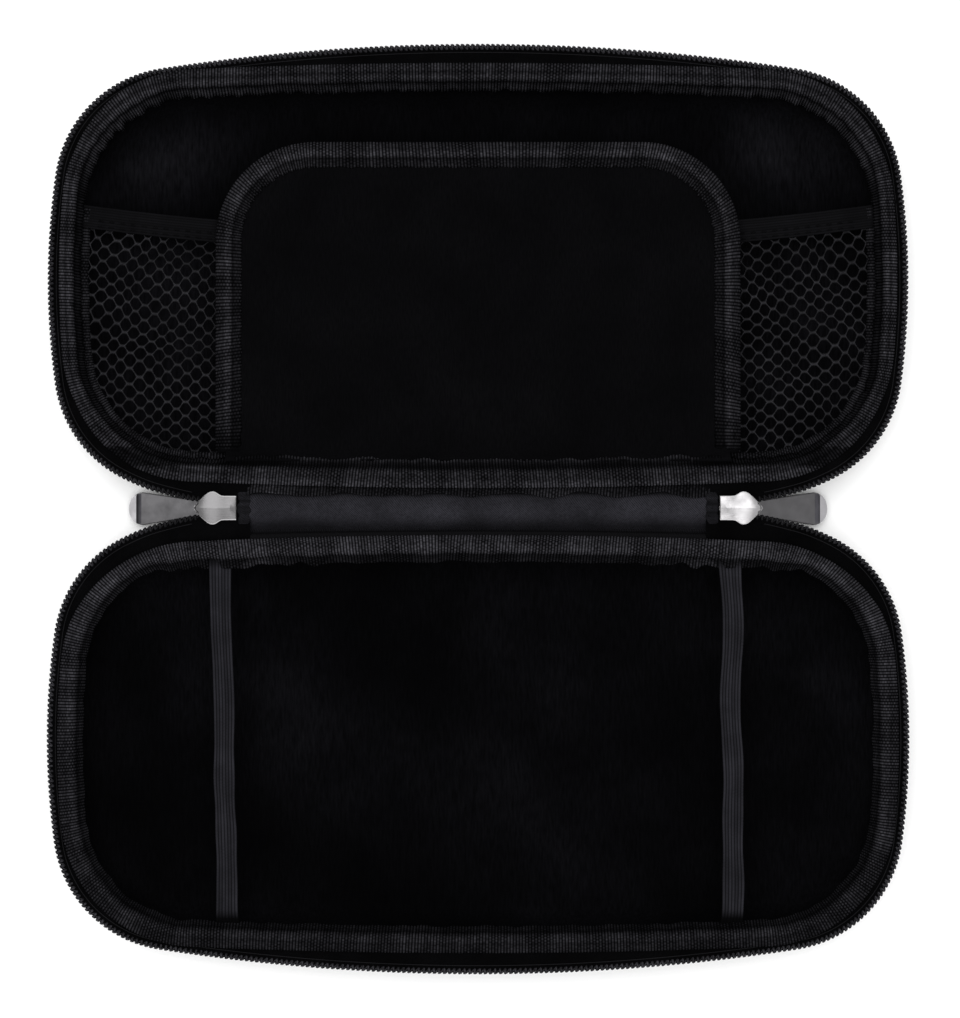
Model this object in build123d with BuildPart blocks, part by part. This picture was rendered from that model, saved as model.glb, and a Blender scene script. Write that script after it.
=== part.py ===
from build123d import *
import os
from math import acos, atan2, cos, degrees, radians, sin, sqrt, tan

os.makedirs("parts", exist_ok=True)

# Moulded half in plan: a barrel outline at the rim, whose sides and long edges sag towards the corners
rim_width = 261.4
rim_depth = 130.4
rim_corner = 42.0
rim_side_sag = 7.2
rim_edge_sag = 4.3

# Moulded half in section
rim_height = 20.0
wall = 4.2
draft = 9.0
base_bevel = 4.0

# Cloth spine that joins the halves, folding along both of its long edges
spine_gap = 14.6
spine_length = 141.0
spine_thickness = 1.2
spine_drop = 0.2

# Binding ribbon rolled over each rim and overhanging the inside of the wall
roll_height = 1.4
tray_overhang = 3.3
lid_overhang = 1.4

# Zip half: reach of the tooth tips past the rim in plan, and the tape that carries the teeth
zip_side_reach = 3.3
zip_front_reach = 7.0
zip_hinge_reach = 9.5
zip_corner = 39.0
zip_side_sag = 11.6
zip_edge_sag = 14.0
zip_thickness = 1.0
zip_step = 0.6
tooth_depth = 1.2
tooth_pitch = 5.4

# Zip slider: two leaf plates, a wedge between them and a bail on the outer side
slider_length = 13.3
slider_nose = 0.8
cheek_at = 2.4
cheek_half = 3.8
shoulder_at = 6.3
shoulder_half = 5.2
neck_at = 9.3
neck_half = 3.9
tail_half = 3.8
plate_thickness = 1.2
slider_channel = 1.9
wedge_at = 1.4
wedge_length = 4.4
wedge_half = 1.3
flange_thickness = 0.8
flange_height = 0.55
bail_at = 2.2
bail_length = 8.0
bail_height = 3.0
bail_bar = 1.1
bail_width = 2.4

# Zip pull: a tapered tab on a round crossbar trapped under the bail
pull_length = 30.0
pull_thickness = 1.5
pull_end_half = 5.2
pull_eye_half = 2.9
pull_window_half = 1.6
pull_window_length = 6.6
pull_end_straight = 4.2
pull_end_round = 4.0
pull_lip_length = 3.0
pull_lip_proud = 0.4
pull_droop = 29.3

# Folded cloth tab and closed chain at each end of the zip
end_tab_length = 4.3
end_tab_width = 11.2
end_tab_thickness = 2.2
end_tab_bevel = 0.7
chain_half = 2.3
chain_thickness = 1.4

# Elastic straps across the tray
strap_x = 79.0
strap_width = 7.0
strap_thickness = 1.2
strap_ribs = 5
strap_groove = 0.7

# Net pocket in the lid
pocket_level = 13.0
net_thickness = 0.8
net_gap_radius = 7.0
net_gap_pitch = 19.6
net_gap_columns = 11
net_gap_rows = 4
net_margin = 14.0
pocket_edge_width = 3.6
pocket_edge_thickness = 1.8
band_width = 6.0
band_thickness = 1.6
band_reach_side = 95.5
band_sag = 8.5

# Padded divider page hinged at the back of the lid
page_width = 164.0
page_length = 97.2
page_corner = 24.0
page_thickness = 3.0
page_edge_thickness = 4.2
page_edge_width = 8.0
page_edge_turn = 1.0
page_drop = 2.2
page_axis_rise = 0.4
page_hinge_round = 0.5
page_hinge_length = 8.0
page_hinge_run = 2.2

# Clearances: sewn layers, folds and other moving seats
seat = 0.1
fold_clearance = 0.3

zip_width = rim_width + 2 * zip_side_reach
zip_depth = rim_depth + zip_front_reach + zip_hinge_reach
rim_middle = spine_gap / 2 + rim_depth / 2
zip_middle = rim_middle + (zip_front_reach - zip_hinge_reach) / 2
spine_level = rim_height - spine_drop
fold_y = spine_gap / 2 - fold_clearance - spine_thickness / 2
draft_slope = tan(radians(draft))
slider_tip = spine_length / 2 + seat + end_tab_length + fold_clearance + slider_length
zip_end = slider_tip + 2 * fold_clearance


def bow_radius(span, sag):
    """Radius of an arc whose middle stands sag above its span."""
    return ((span / 2) ** 2 + sag**2) / (2 * sag)


def barrel_outline(width, depth, corner, side_sag, edge_sag):
    """Sizes of a bowed rectangle: width, depth, corner radius, and the radii of its sides and long edges."""
    return width, depth, corner, bow_radius(depth, side_sag), bow_radius(width, edge_sag)


rim_outline = barrel_outline(rim_width, rim_depth, rim_corner, rim_side_sag, rim_edge_sag)
zip_outline = barrel_outline(zip_width, zip_depth, zip_corner, zip_side_sag, zip_edge_sag)


def barrel_arcs(outline):
    """Eight tangent arcs of a bowed rectangle, anticlockwise from the right side: centre, radius, start, sweep."""
    width, depth, corner, side_bow, edge_bow = outline
    edge_centre = Vector(0, depth / 2 - edge_bow)
    side_centre = Vector(width / 2 - side_bow, 0)
    span = side_centre - edge_centre
    along = ((edge_bow - corner) ** 2 - (side_bow - corner) ** 2 + span.length**2) / (2 * span.length)
    across = sqrt((edge_bow - corner) ** 2 - along**2)
    step = span.normalized()
    centre = edge_centre + step * along + Vector(step.Y, -step.X) * across
    to_edge = centre - edge_centre
    to_side = centre - side_centre
    high = degrees(atan2(to_edge.Y, to_edge.X))
    low = degrees(atan2(to_side.Y, to_side.X))
    turn = high - low
    return [
        (side_centre, side_bow, -low, 2 * low),
        (centre, corner, low, turn),
        (edge_centre, edge_bow, high, 180 - 2 * high),
        (Vector(-centre.X, centre.Y), corner, 180 - high, turn),
        (-side_centre, side_bow, 180 - low, 2 * low),
        (-centre, corner, 180 + low, turn),
        (-edge_centre, edge_bow, 180 + high, 180 - 2 * high),
        (Vector(centre.X, -centre.Y), corner, 360 - high, turn),
    ]


def barrel(outline, inset, plane):
    """Face inside the barrel outline, drawn in by inset, on a plane whose origin is the outline's middle."""
    with BuildSketch(plane) as face:
        with BuildLine():
            for centre, radius, start, sweep in barrel_arcs(outline):
                CenterArc(centre, radius - inset, start, sweep)
        make_face()
    return face.sketch.face()


def rim_plane(level):
    """Level plane of the tray half, with its origin at the middle of the rim outline."""
    return Plane(origin=(0, -rim_middle, level))


def edge_reach(outline, inset, x):
    """Distance from the outline's middle to its front or hinge edge at x, drawn in by inset."""
    depth, edge_bow = outline[1], outline[4]
    return depth / 2 - edge_bow + sqrt((edge_bow - inset) ** 2 - x**2)


def wall_inset(level, start):
    """Inset of a drafted wall at a level, for a wall face that starts at inset start on the rim."""
    return start + (rim_height - level) * draft_slope


# Tray half: foam laminate pressed into a drafted dish, even in thickness
with BuildPart() as tray_shell:
    loft(
        [barrel(rim_outline, wall_inset(0, 0), rim_plane(0)), barrel(rim_outline, 0, rim_plane(rim_height))],
        ruled=True,
    )
    chamfer(tray_shell.edges().group_by(Axis.Z)[0], base_bevel)
    loft(
        [
            barrel(rim_outline, wall_inset(wall, wall), rim_plane(wall)),
            barrel(rim_outline, wall, rim_plane(rim_height)),
        ],
        ruled=True,
        mode=Mode.SUBTRACT,
    )

with BuildPart() as lid_shell:
    mirror(tray_shell.part, about=Plane.XZ)


def rim_binding(overhang):
    """Ribbon roll on the tray's rim, reaching in past the wall by overhang."""
    roll_plane = rim_plane(rim_height + seat)
    with BuildPart() as binding:
        extrude(barrel(rim_outline, 0, roll_plane), amount=roll_height - seat)
        extrude(barrel(rim_outline, wall + overhang, roll_plane), amount=roll_height, mode=Mode.SUBTRACT)
    return binding.part


with BuildPart() as tray_binding:
    add(rim_binding(tray_overhang))

with BuildPart() as lid_binding:
    mirror(rim_binding(lid_overhang), about=Plane.XZ)


def open_run(outline, grow, middle):
    """Arcs of an outline from one slider round the front to the other, grown outwards, about the tray's middle."""
    arcs = barrel_arcs(outline)
    hinge_centre, bow, first, _ = arcs[2]
    last = degrees(acos(zip_end / (bow + grow)))
    left_end = (hinge_centre, bow, 180 - last, last - first)
    right_end = (hinge_centre, bow, first, last - first)
    run = [left_end, *arcs[3:], *arcs[:2], right_end]
    return [(centre - Vector(0, middle), radius + grow, start, sweep) for centre, radius, start, sweep in run]


def zip_half(phase):
    """Tape along the tray's rim with teeth on its outer edge; phase 0 or 1 shifts them by half a pitch."""
    run = open_run(zip_outline, 0, zip_middle)
    lengths = [radius * radians(sweep) for _, radius, _, sweep in run]
    count = round(sum(lengths) / tooth_pitch)
    half_pitch = sum(lengths) / count / 2
    tips = []
    for index in range(2 * count + 1):
        distance = index * half_pitch
        arc = 0
        while arc < len(run) - 1 and distance > lengths[arc]:
            distance -= lengths[arc]
            arc += 1
        centre, radius, start, _ = run[arc]
        angle = radians(start) + distance / radius
        reach = radius - tooth_depth * ((index + phase) % 2)
        tips.append(centre + Vector(cos(angle), sin(angle)) * reach)
    with BuildPart() as half:
        with BuildSketch(Plane.XY.offset(rim_height + zip_step - zip_thickness)):
            with BuildLine():
                Polyline(*tips)
                inner = [CenterArc(*arc) for arc in open_run(rim_outline, seat, rim_middle)]
                Line(tips[0], inner[0] @ 0)
                Line(tips[-1], inner[-1] @ 1)
            make_face()
        extrude(amount=zip_thickness)
    return half.part


with BuildPart() as tray_zip:
    add(zip_half(0))

with BuildPart() as lid_zip:
    mirror(zip_half(1), about=Plane.XZ)

# Elastic strap: ribbed webbing, taut from the hinge wall to the front wall under the binding
strap_top = rim_height - seat
strap_inset = wall_inset(strap_top - strap_thickness, wall + seat)
strap_half_run = edge_reach(rim_outline, strap_inset, strap_x + strap_width / 2)
with BuildPart() as right_strap:
    with BuildSketch(Plane.XZ.offset(rim_middle - strap_half_run)):
        with Locations((strap_x, strap_top)):
            Rectangle(strap_width, strap_thickness, align=(Align.CENTER, Align.MAX))
        groove_pitch = strap_width / strap_ribs
        with Locations((strap_x, strap_top)):
            with GridLocations(groove_pitch, 0, strap_ribs - 1, 1):
                Rectangle(strap_groove, strap_groove, rotation=45, mode=Mode.SUBTRACT)
    extrude(amount=2 * strap_half_run)

with BuildPart() as left_strap:
    mirror(right_strap.part, about=Plane.YZ)

# Spine: doubled nylon with rounded folds on its long edges
with BuildPart() as hinge_spine:
    with BuildSketch(Plane.YZ):
        with Locations((0, spine_level)):
            SlotCenterToCenter(2 * fold_y, spine_thickness)
    extrude(amount=spine_length / 2, both=True)

# Zip end: a folded cloth tab that holds the last of the closed chain
tab_centre_x = -(spine_length / 2 + seat + end_tab_length / 2)
chain_reach = slider_tip - wedge_at - wedge_length - fold_clearance
with BuildPart() as left_zip_end:
    with BuildSketch(Plane.YZ.offset(tab_centre_x - end_tab_length / 2)):
        with Locations((0, spine_level)):
            Rectangle(end_tab_width, end_tab_thickness)
        chamfer(vertices(), end_tab_bevel)
    extrude(amount=end_tab_length)
    with BuildSketch(Plane.YZ.offset(-chain_reach)):
        with Locations((0, spine_level)):
            Rectangle(2 * chain_half, chain_thickness)
    extrude(amount=chain_reach + tab_centre_x)

with BuildPart() as right_zip_end:
    mirror(left_zip_end.part, about=Plane.YZ)


def slider_leaf():
    """Leaf outline of a slider plate, from its blunt nose at the origin to its square tail along +X."""
    with BuildSketch() as leaf:
        with BuildLine():
            Line((0, 0), (0, slider_nose))
            Polyline(
                (0, slider_nose),
                (cheek_at, cheek_half),
                (shoulder_at, shoulder_half),
                (neck_at, neck_half),
                (slider_length, tail_half),
                (slider_length, 0),
            )
            mirror(about=Plane.XZ)
        make_face()
    return leaf.sketch


# Zip slider: die-cast plates held apart by the wedge, with the bail underneath
plate_level = spine_level + slider_channel / 2
with BuildPart() as left_slider:
    for level in (plate_level, spine_level - slider_channel / 2 - plate_thickness):
        with BuildSketch(Plane(origin=(-slider_tip, 0, level))):
            add(slider_leaf())
        extrude(amount=plate_thickness)
    with BuildSketch(Plane(origin=(-slider_tip, 0, spine_level - slider_channel / 2))):
        with BuildLine():
            Polyline(
                (wedge_at, 0),
                (wedge_at + wedge_length / 2, wedge_half),
                (wedge_at + wedge_length, 0),
                (wedge_at + wedge_length / 2, -wedge_half),
                close=True,
            )
        make_face()
    extrude(amount=slider_channel)
    flange_length = slider_length - neck_at
    for side in (-1, 1):
        for level in (spine_level - slider_channel / 2, plate_level - flange_height):
            with BuildSketch(Plane(origin=(-slider_tip, 0, level))):
                with Locations((neck_at, side * tail_half)):
                    anchor = Align.MAX if side > 0 else Align.MIN
                    Rectangle(flange_length, flange_thickness, align=(Align.MIN, anchor))
            extrude(amount=flange_height)
    bail_level = spine_level - slider_channel / 2 - plate_thickness
    with BuildSketch(Plane(origin=(-slider_tip, 0, bail_level), x_dir=(1, 0, 0), z_dir=(0, -1, 0))):
        with Locations((bail_at, plate_thickness / 2)):
            Rectangle(bail_length, bail_height + plate_thickness / 2, align=(Align.MIN, Align.MAX))
        fillet(vertices().group_by(Axis.Z)[0], bail_bar)
        with Locations((bail_at + bail_bar, 0)):
            Rectangle(
                bail_length - 2 * bail_bar,
                bail_height - bail_bar,
                align=(Align.MIN, Align.MAX),
                mode=Mode.SUBTRACT,
            )
    extrude(amount=bail_width / 2, both=True)

with BuildPart() as right_slider:
    mirror(left_slider.part, about=Plane.YZ)

# Zip pull: it hangs from the bail with its round end on the ground
pivot_x = slider_tip - bail_at - bail_bar - fold_clearance - pull_thickness / 2
pivot_level = bail_level - (bail_height - bail_bar) / 2
droop = radians(pull_droop)
pull_plane = Plane(
    origin=(-pivot_x, 0, pivot_level),
    x_dir=(-cos(droop), 0, -sin(droop)),
    z_dir=(-sin(droop), 0, cos(droop)),
)


def pull_outline():
    """Tapered tab from the crossbar at the origin to its rounded end along +X."""
    with BuildSketch() as outline:
        with BuildLine():
            Polyline(
                (0, -pull_eye_half),
                (pull_window_length, -pull_eye_half),
                (pull_length - pull_end_straight, -pull_end_half),
                (pull_length, -pull_end_half),
                (pull_length, pull_end_half),
                (pull_length - pull_end_straight, pull_end_half),
                (pull_window_length, pull_eye_half),
                (0, pull_eye_half),
                close=True,
            )
        make_face()
        fillet(outline.vertices().group_by(Axis.X)[-1], pull_end_round)
    return outline.sketch


with BuildPart() as left_pull:
    with BuildSketch(pull_plane):
        add(pull_outline())
        with Locations((pull_window_length / 2, 0)):
            Rectangle(pull_window_length, 2 * pull_window_half, mode=Mode.SUBTRACT)
    extrude(amount=pull_thickness / 2, both=True)
    with BuildSketch(pull_plane):
        add(pull_outline())
        with Locations((pull_length, 0)):
            Rectangle(2 * pull_lip_length, 2 * pull_end_half, mode=Mode.INTERSECT)
    extrude(amount=pull_thickness / 2 + pull_lip_proud, both=True)
    with BuildSketch(Plane(origin=(-pivot_x, 0, pivot_level), x_dir=(1, 0, 0), z_dir=(0, 1, 0))):
        Circle(pull_thickness / 2)
    extrude(amount=pull_eye_half, both=True)

with BuildPart() as right_pull:
    mirror(left_pull.part, about=Plane.YZ)

# Net pocket: an open net sheet stretched across the lid, closed along its mouth by an elastic band
lid_plane = Plane(origin=(0, rim_middle, pocket_level))
pocket_outer = wall_inset(pocket_level - pocket_edge_thickness, wall + seat)
pocket_inner = pocket_outer + pocket_edge_width
band_half_span = rim_width / 2 - pocket_outer
band_reach_middle = band_reach_side - band_sag
mouth_radius = bow_radius(2 * band_half_span, band_sag)
mouth_centre_y = band_reach_middle + mouth_radius - rim_middle

with BuildPart() as pocket_net:
    with BuildSketch(lid_plane) as net_face:
        add(barrel(rim_outline, pocket_inner + seat, Plane.XY))
        with Locations((0, mouth_centre_y)):
            Circle(mouth_radius + band_width + seat, mode=Mode.SUBTRACT)
        net_back = -edge_reach(rim_outline, pocket_inner, 0) + net_margin
        net_front = band_reach_middle - band_width - net_margin / 2 - rim_middle
        with Locations((0, (net_back + net_front) / 2)):
            row_pitch = (net_front - net_back) / (net_gap_rows - 1)
            for row in range(net_gap_rows):
                columns = net_gap_columns - row % 2
                with Locations((0, (row - (net_gap_rows - 1) / 2) * row_pitch)):
                    with GridLocations(net_gap_pitch, 0, columns, 1):
                        RegularPolygon(net_gap_radius, 4, rotation=45, mode=Mode.SUBTRACT)
    extrude(amount=-net_thickness)

with BuildPart() as pocket_edge:
    with BuildSketch(lid_plane):
        add(barrel(rim_outline, pocket_outer, Plane.XY))
        add(barrel(rim_outline, pocket_inner, Plane.XY), mode=Mode.SUBTRACT)
        with Locations((0, mouth_centre_y)):
            Circle(mouth_radius, mode=Mode.SUBTRACT)
    extrude(amount=-pocket_edge_thickness)

with BuildPart() as pocket_band:
    with BuildSketch(lid_plane):
        add(barrel(rim_outline, pocket_inner + seat, Plane.XY))
        with Locations((0, mouth_centre_y)):
            Circle(mouth_radius + band_width, mode=Mode.INTERSECT)
            Circle(mouth_radius, mode=Mode.SUBTRACT)
    extrude(amount=-band_thickness)

# Divider page: a padded board with a ribbon edge on three sides and a cloth hinge on the fourth
page_axis_level = rim_height + roll_height + page_axis_rise
page_hinge_half = page_width / 2 - page_edge_width - seat
roll_inside_y = rim_middle - edge_reach(rim_outline, wall + lid_overhang, page_hinge_half)
page_axis_y = roll_inside_y + fold_clearance + page_hinge_round
page_top = page_axis_level - page_drop
page_back = page_axis_y + page_hinge_run


def page_sheet(level, inset, back_inset):
    """Page outline on a level: square at the hinge, rounded at the free corners, drawn in by inset."""
    with BuildSketch(Plane.XY.offset(level)) as sheet:
        with BuildLine():
            half = page_width / 2 - inset
            back = page_back + back_inset
            front = page_back + page_length - inset
            Polyline((-half, back), (half, back), (half, front), (-half, front), close=True)
        make_face()
        fillet(sheet.vertices().group_by(Axis.Y)[-1], page_corner - inset)
    return sheet.sketch


page_middle = page_top - page_edge_thickness / 2
with BuildPart() as page_panel:
    add(page_sheet(page_middle - page_thickness / 2, page_edge_turn, 0))
    extrude(amount=page_thickness)

with BuildPart() as page_edge:
    with BuildSketch(Plane.XY.offset(page_top - page_edge_thickness)):
        add(page_sheet(0, 0, 0))
    extrude(amount=page_edge_thickness)
    with BuildSketch(Plane.XY.offset(page_top - page_edge_thickness)):
        add(page_sheet(0, page_edge_width, -page_edge_width))
    extrude(amount=page_edge_thickness, mode=Mode.SUBTRACT)
    with BuildSketch(Plane.XY.offset(page_middle - page_thickness / 2 - seat)):
        add(page_sheet(0, page_edge_turn - seat, -page_edge_width))
    extrude(amount=page_thickness + 2 * seat, mode=Mode.SUBTRACT)

with BuildPart() as page_hinge:
    with BuildSketch(Plane.YZ):
        panel_top = page_middle + page_thickness / 2 + seat
        with BuildLine():
            Polyline(
                (page_axis_y, page_axis_level - page_hinge_round),
                (page_back - seat, panel_top),
                (page_back + page_hinge_length, panel_top),
                (page_back + page_hinge_length, panel_top + page_hinge_round),
                (page_back, panel_top + 2 * page_hinge_round),
                (page_axis_y, page_axis_level + page_hinge_round),
                close=True,
            )
        make_face()
        with Locations((page_axis_y, page_axis_level)):
            Circle(page_hinge_round)
    extrude(amount=page_hinge_half, both=True)

pieces = {
    "tray_shell": tray_shell,
    "tray_binding": tray_binding,
    "tray_zip": tray_zip,
    "left_strap": left_strap,
    "right_strap": right_strap,
    "hinge_spine": hinge_spine,
    "left_zip_end": left_zip_end,
    "right_zip_end": right_zip_end,
    "left_slider": left_slider,
    "right_slider": right_slider,
    "left_pull": left_pull,
    "right_pull": right_pull,
    "lid_shell": lid_shell,
    "lid_binding": lid_binding,
    "lid_zip": lid_zip,
    "pocket_net": pocket_net,
    "pocket_edge": pocket_edge,
    "pocket_band": pocket_band,
    "page_panel": page_panel,
    "page_edge": page_edge,
    "page_hinge": page_hinge,
}
for name, piece in pieces.items():
    piece.part.label = name
    export_step(piece.part, f"parts/{name}.step")
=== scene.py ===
import math

import bpy
import numpy as np
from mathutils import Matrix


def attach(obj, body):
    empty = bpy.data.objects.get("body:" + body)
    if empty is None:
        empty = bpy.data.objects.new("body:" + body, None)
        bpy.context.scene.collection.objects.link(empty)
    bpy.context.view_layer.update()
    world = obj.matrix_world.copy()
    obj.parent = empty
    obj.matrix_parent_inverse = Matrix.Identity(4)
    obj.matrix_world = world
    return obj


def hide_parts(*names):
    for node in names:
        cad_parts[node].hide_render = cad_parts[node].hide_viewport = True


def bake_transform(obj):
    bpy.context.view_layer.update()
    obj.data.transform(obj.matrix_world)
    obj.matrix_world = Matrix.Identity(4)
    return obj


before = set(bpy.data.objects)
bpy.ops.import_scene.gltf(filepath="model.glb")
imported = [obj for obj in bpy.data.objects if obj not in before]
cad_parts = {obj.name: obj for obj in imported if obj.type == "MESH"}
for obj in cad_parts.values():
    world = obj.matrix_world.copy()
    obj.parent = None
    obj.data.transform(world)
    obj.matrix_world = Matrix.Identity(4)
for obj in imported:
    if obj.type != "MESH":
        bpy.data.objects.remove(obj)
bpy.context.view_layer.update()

# Tray and lid halves: foam laminate pressed into dishes, plain black nylon outside and a brushed knit
# lining inside. The skins are glued to the foam, so the lining lies in a soft cove along the floor and
# shows a few shallow folds where the press stretched it at the corners.
rim_width, rim_depth, rim_middle = 261.4, 130.4, 72.5
rim_height, wall, wall_slope = 20.0, 4.2, 0.1584


def barrel(width, depth, corner, side_sag, edge_sag, middle):
    """Arcs of a bowed rectangle, from the middle of its hinge edge round: centre, radius, angle, end."""
    side = ((depth / 2) ** 2 + side_sag**2) / (2 * side_sag)
    edge = ((width / 2) ** 2 + edge_sag**2) / (2 * edge_sag)
    side_x = width / 2 - side
    edge_y = depth / 2 - edge
    span = math.hypot(side_x, edge_y)
    along = ((edge - corner) ** 2 - (side - corner) ** 2 + span**2) / (2 * span)
    across = math.sqrt((edge - corner) ** 2 - along**2)
    step = (side_x / span, -edge_y / span)
    x = step[0] * along + step[1] * across
    y = edge_y + step[1] * along - step[0] * across
    high = math.atan2(y - edge_y, x)
    low = math.atan2(y, x - side_x)
    turn = high - low
    arcs = [
        (0, -edge_y, edge, -math.pi / 2, math.pi / 2 - high),
        (x, -y, corner, -high, turn),
        (side_x, 0, side, -low, 2 * low),
        (x, y, corner, low, turn),
        (0, edge_y, edge, high, math.pi - 2 * high),
        (-x, y, corner, math.pi - high, turn),
        (-side_x, 0, side, math.pi - low, 2 * low),
        (-x, -y, corner, math.pi + low, turn),
        (0, -edge_y, edge, math.pi + high, math.pi / 2 - high),
    ]
    centre = np.array([(arc[0], arc[1] + middle) for arc in arcs])
    radius = np.array([arc[2] for arc in arcs])
    angle = np.array([arc[3] for arc in arcs])
    end = np.cumsum([arc[2] * arc[4] for arc in arcs])
    return centre, radius, angle, end


def ring(line, along, out):
    """Plan points at lengths along an outline, moved out along its normal."""
    centre, radius, angle, end = line
    along = np.mod(along, end[-1])
    arc = np.searchsorted(end, along, side="right").clip(max=len(end) - 1)
    before = np.concatenate([[0.0], end[:-1]])[arc]
    turn = angle[arc] + (along - before) / radius[arc]
    reach = radius[arc] + out
    return centre[arc, 0] + reach * np.cos(turn), centre[arc, 1] + reach * np.sin(turn)


def grid_faces(rows, columns, wrap_rows=False, wrap_columns=False):
    """Quads of a grid numbered row by row, and the row and column of each corner, not wrapped."""
    row = np.arange(rows if wrap_rows else rows - 1)
    column = np.arange(columns if wrap_columns else columns - 1)
    row, column = (axis.ravel() for axis in np.meshgrid(row, column, indexing="ij"))
    corner_row = np.stack([row, row, row + 1, row + 1], axis=1)
    corner_column = np.stack([column, column + 1, column + 1, column], axis=1)
    faces = (corner_row % rows) * columns + corner_column % columns
    return faces, corner_row, corner_column


def add_piece(name, points, faces, materials, uv=None, slots=None, pale=1.0):
    """Smooth mesh from points in millimetres, with corner UVs for ribs and a paleness at each point."""
    mesh = bpy.data.meshes.new(name)
    mesh.from_pydata((np.asarray(points, float) * 0.001).tolist(), [], [list(face) for face in faces])
    mesh.polygons.foreach_set("use_smooth", np.ones(len(mesh.polygons), bool))
    for material in materials:
        mesh.materials.append(material)
    if slots is not None:
        mesh.polygons.foreach_set("material_index", np.asarray(slots, np.int32))
    if uv is not None:
        layer = mesh.uv_layers.new(name="ribbon")
        layer.data.foreach_set("uv", np.asarray(uv, np.float32).ravel())
    layer = mesh.attributes.new("pale", "FLOAT", "POINT")
    layer.data.foreach_set("value", np.broadcast_to(np.float32(pale), len(mesh.vertices)))
    mesh.update()
    piece = bpy.data.objects.new(name, mesh)
    bpy.context.scene.collection.objects.link(piece)
    return piece


def drift(x, y, size, seed):
    """Random gentle relief of about unit size over the plan, with features of some size."""
    rng = np.random.default_rng(seed)
    total = 0
    for _ in range(7):
        heading = rng.uniform(0, 2 * np.pi)
        wave = 2 * np.pi / (size * rng.uniform(0.7, 1.8))
        total = total + np.sin(wave * (x * np.cos(heading) + y * np.sin(heading)) + rng.uniform(0, 2 * np.pi))
    return total / 3


def add_node(tree, kind, inputs, **settings):
    """Shader node with settings; each input is a value or another node's output."""
    made = tree.nodes.new(kind)
    for key, value in settings.items():
        setattr(made, key, value)
    for socket, value in inputs.items():
        if isinstance(value, bpy.types.NodeSocket):
            tree.links.new(value, made.inputs[socket])
        else:
            made.inputs[socket].default_value = value
    return made


def math_node(tree, operation, *values, clamp=False):
    """Output of a maths node on values or other nodes' outputs."""
    inputs = dict(enumerate(values))
    return add_node(tree, "ShaderNodeMath", inputs, operation=operation, use_clamp=clamp).outputs[0]


def rise(tree, value, low, high, floor=0.0, smooth=False):
    """Output that climbs from a floor to 1 while a value goes from low to high."""
    inputs = {"Value": value, "From Min": low, "From Max": high, "To Min": floor}
    shape = "SMOOTHSTEP" if smooth else "LINEAR"
    return add_node(tree, "ShaderNodeMapRange", inputs, interpolation_type=shape).outputs[0]


def new_group(name, inputs):
    """Node group with colour and number inputs that gives out a colour and a normal."""
    tree = bpy.data.node_groups.new(name, "ShaderNodeTree")
    for label, value in inputs.items():
        kind = "NodeSocketFloat" if isinstance(value, float) else "NodeSocketColor"
        tree.interface.new_socket(label, in_out="INPUT", socket_type=kind).default_value = value
    tree.interface.new_socket("Color", in_out="OUTPUT", socket_type="NodeSocketColor")
    tree.interface.new_socket("Normal", in_out="OUTPUT", socket_type="NodeSocketVector")
    given = tree.nodes.new("NodeGroupInput").outputs
    return tree, given


def end_group(tree, given, tone, height, depth):
    """Mix the group's two colours by a tone and the piece's paleness, and bump its normal by a height."""
    # The pale attribute carries painted shade and painted highlights laid into many pieces, besides their own
    # tone.
    pale = add_node(tree, "ShaderNodeAttribute", {}, attribute_name="pale").outputs["Fac"]
    tone = math_node(tree, "MULTIPLY", tone, pale, clamp=True)
    colour = add_node(tree, "ShaderNodeMix", {0: tone, 6: given["Dark"], 7: given["Light"]}, data_type="RGBA")
    bump = add_node(
        tree, "ShaderNodeBump", {"Strength": given["Relief"], "Distance": depth, "Height": height}
    )
    out = tree.nodes.new("NodeGroupOutput")
    tree.links.new(colour.outputs[2], out.inputs["Color"])
    tree.links.new(bump.outputs["Normal"], out.inputs["Normal"])


def coat(name, group, look, shader):
    """Material whose colour and normal come from a node group, with constants on the shader's sockets."""
    material = bpy.data.materials.new(name)
    material.use_nodes = True
    tree = material.node_tree
    surface = tree.nodes["Principled BSDF"]
    for socket, value in shader.items():
        surface.inputs[socket].default_value = value
    effect = add_node(tree, "ShaderNodeGroup", {}, node_tree=group)
    for socket, value in look.items():
        effect.inputs[socket].default_value = value
    tree.links.new(effect.outputs["Color"], surface.inputs["Base Color"])
    tree.links.new(effect.outputs["Normal"], surface.inputs["Normal"])
    return material


def grey(value, blue=1.12):
    """Slightly blue dark grey."""
    return (value, value * 0.98, value * blue, 1.0)


weave, given = new_group("weave", {"Dark": grey(0.01), "Light": grey(0.02), "Pitch": 0.6, "Relief": 0.5})
place = weave.nodes.new("ShaderNodeTexCoord").outputs["Object"]
twill_scale = math_node(weave, "DIVIDE", 628.0, given["Pitch"])
yarn_scale = math_node(weave, "DIVIDE", 900.0, given["Pitch"])
twill = add_node(
    weave,
    "ShaderNodeTexWave",
    {"Vector": place, "Scale": twill_scale, "Distortion": 0.6, "Detail Scale": 2.0},
    bands_direction="DIAGONAL",
)
yarn = add_node(weave, "ShaderNodeTexNoise", {"Vector": place, "Scale": yarn_scale, "Detail": 1.0})
patch = add_node(weave, "ShaderNodeTexNoise", {"Vector": place, "Scale": 70.0, "Detail": 3.0})
cloth_height = math_node(weave, "ADD", twill.outputs["Fac"], yarn.outputs["Fac"])
weave_tone = math_node(weave, "MULTIPLY", cloth_height, patch.outputs["Fac"], clamp=True)
end_group(weave, given, weave_tone, cloth_height, 0.0002)

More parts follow.
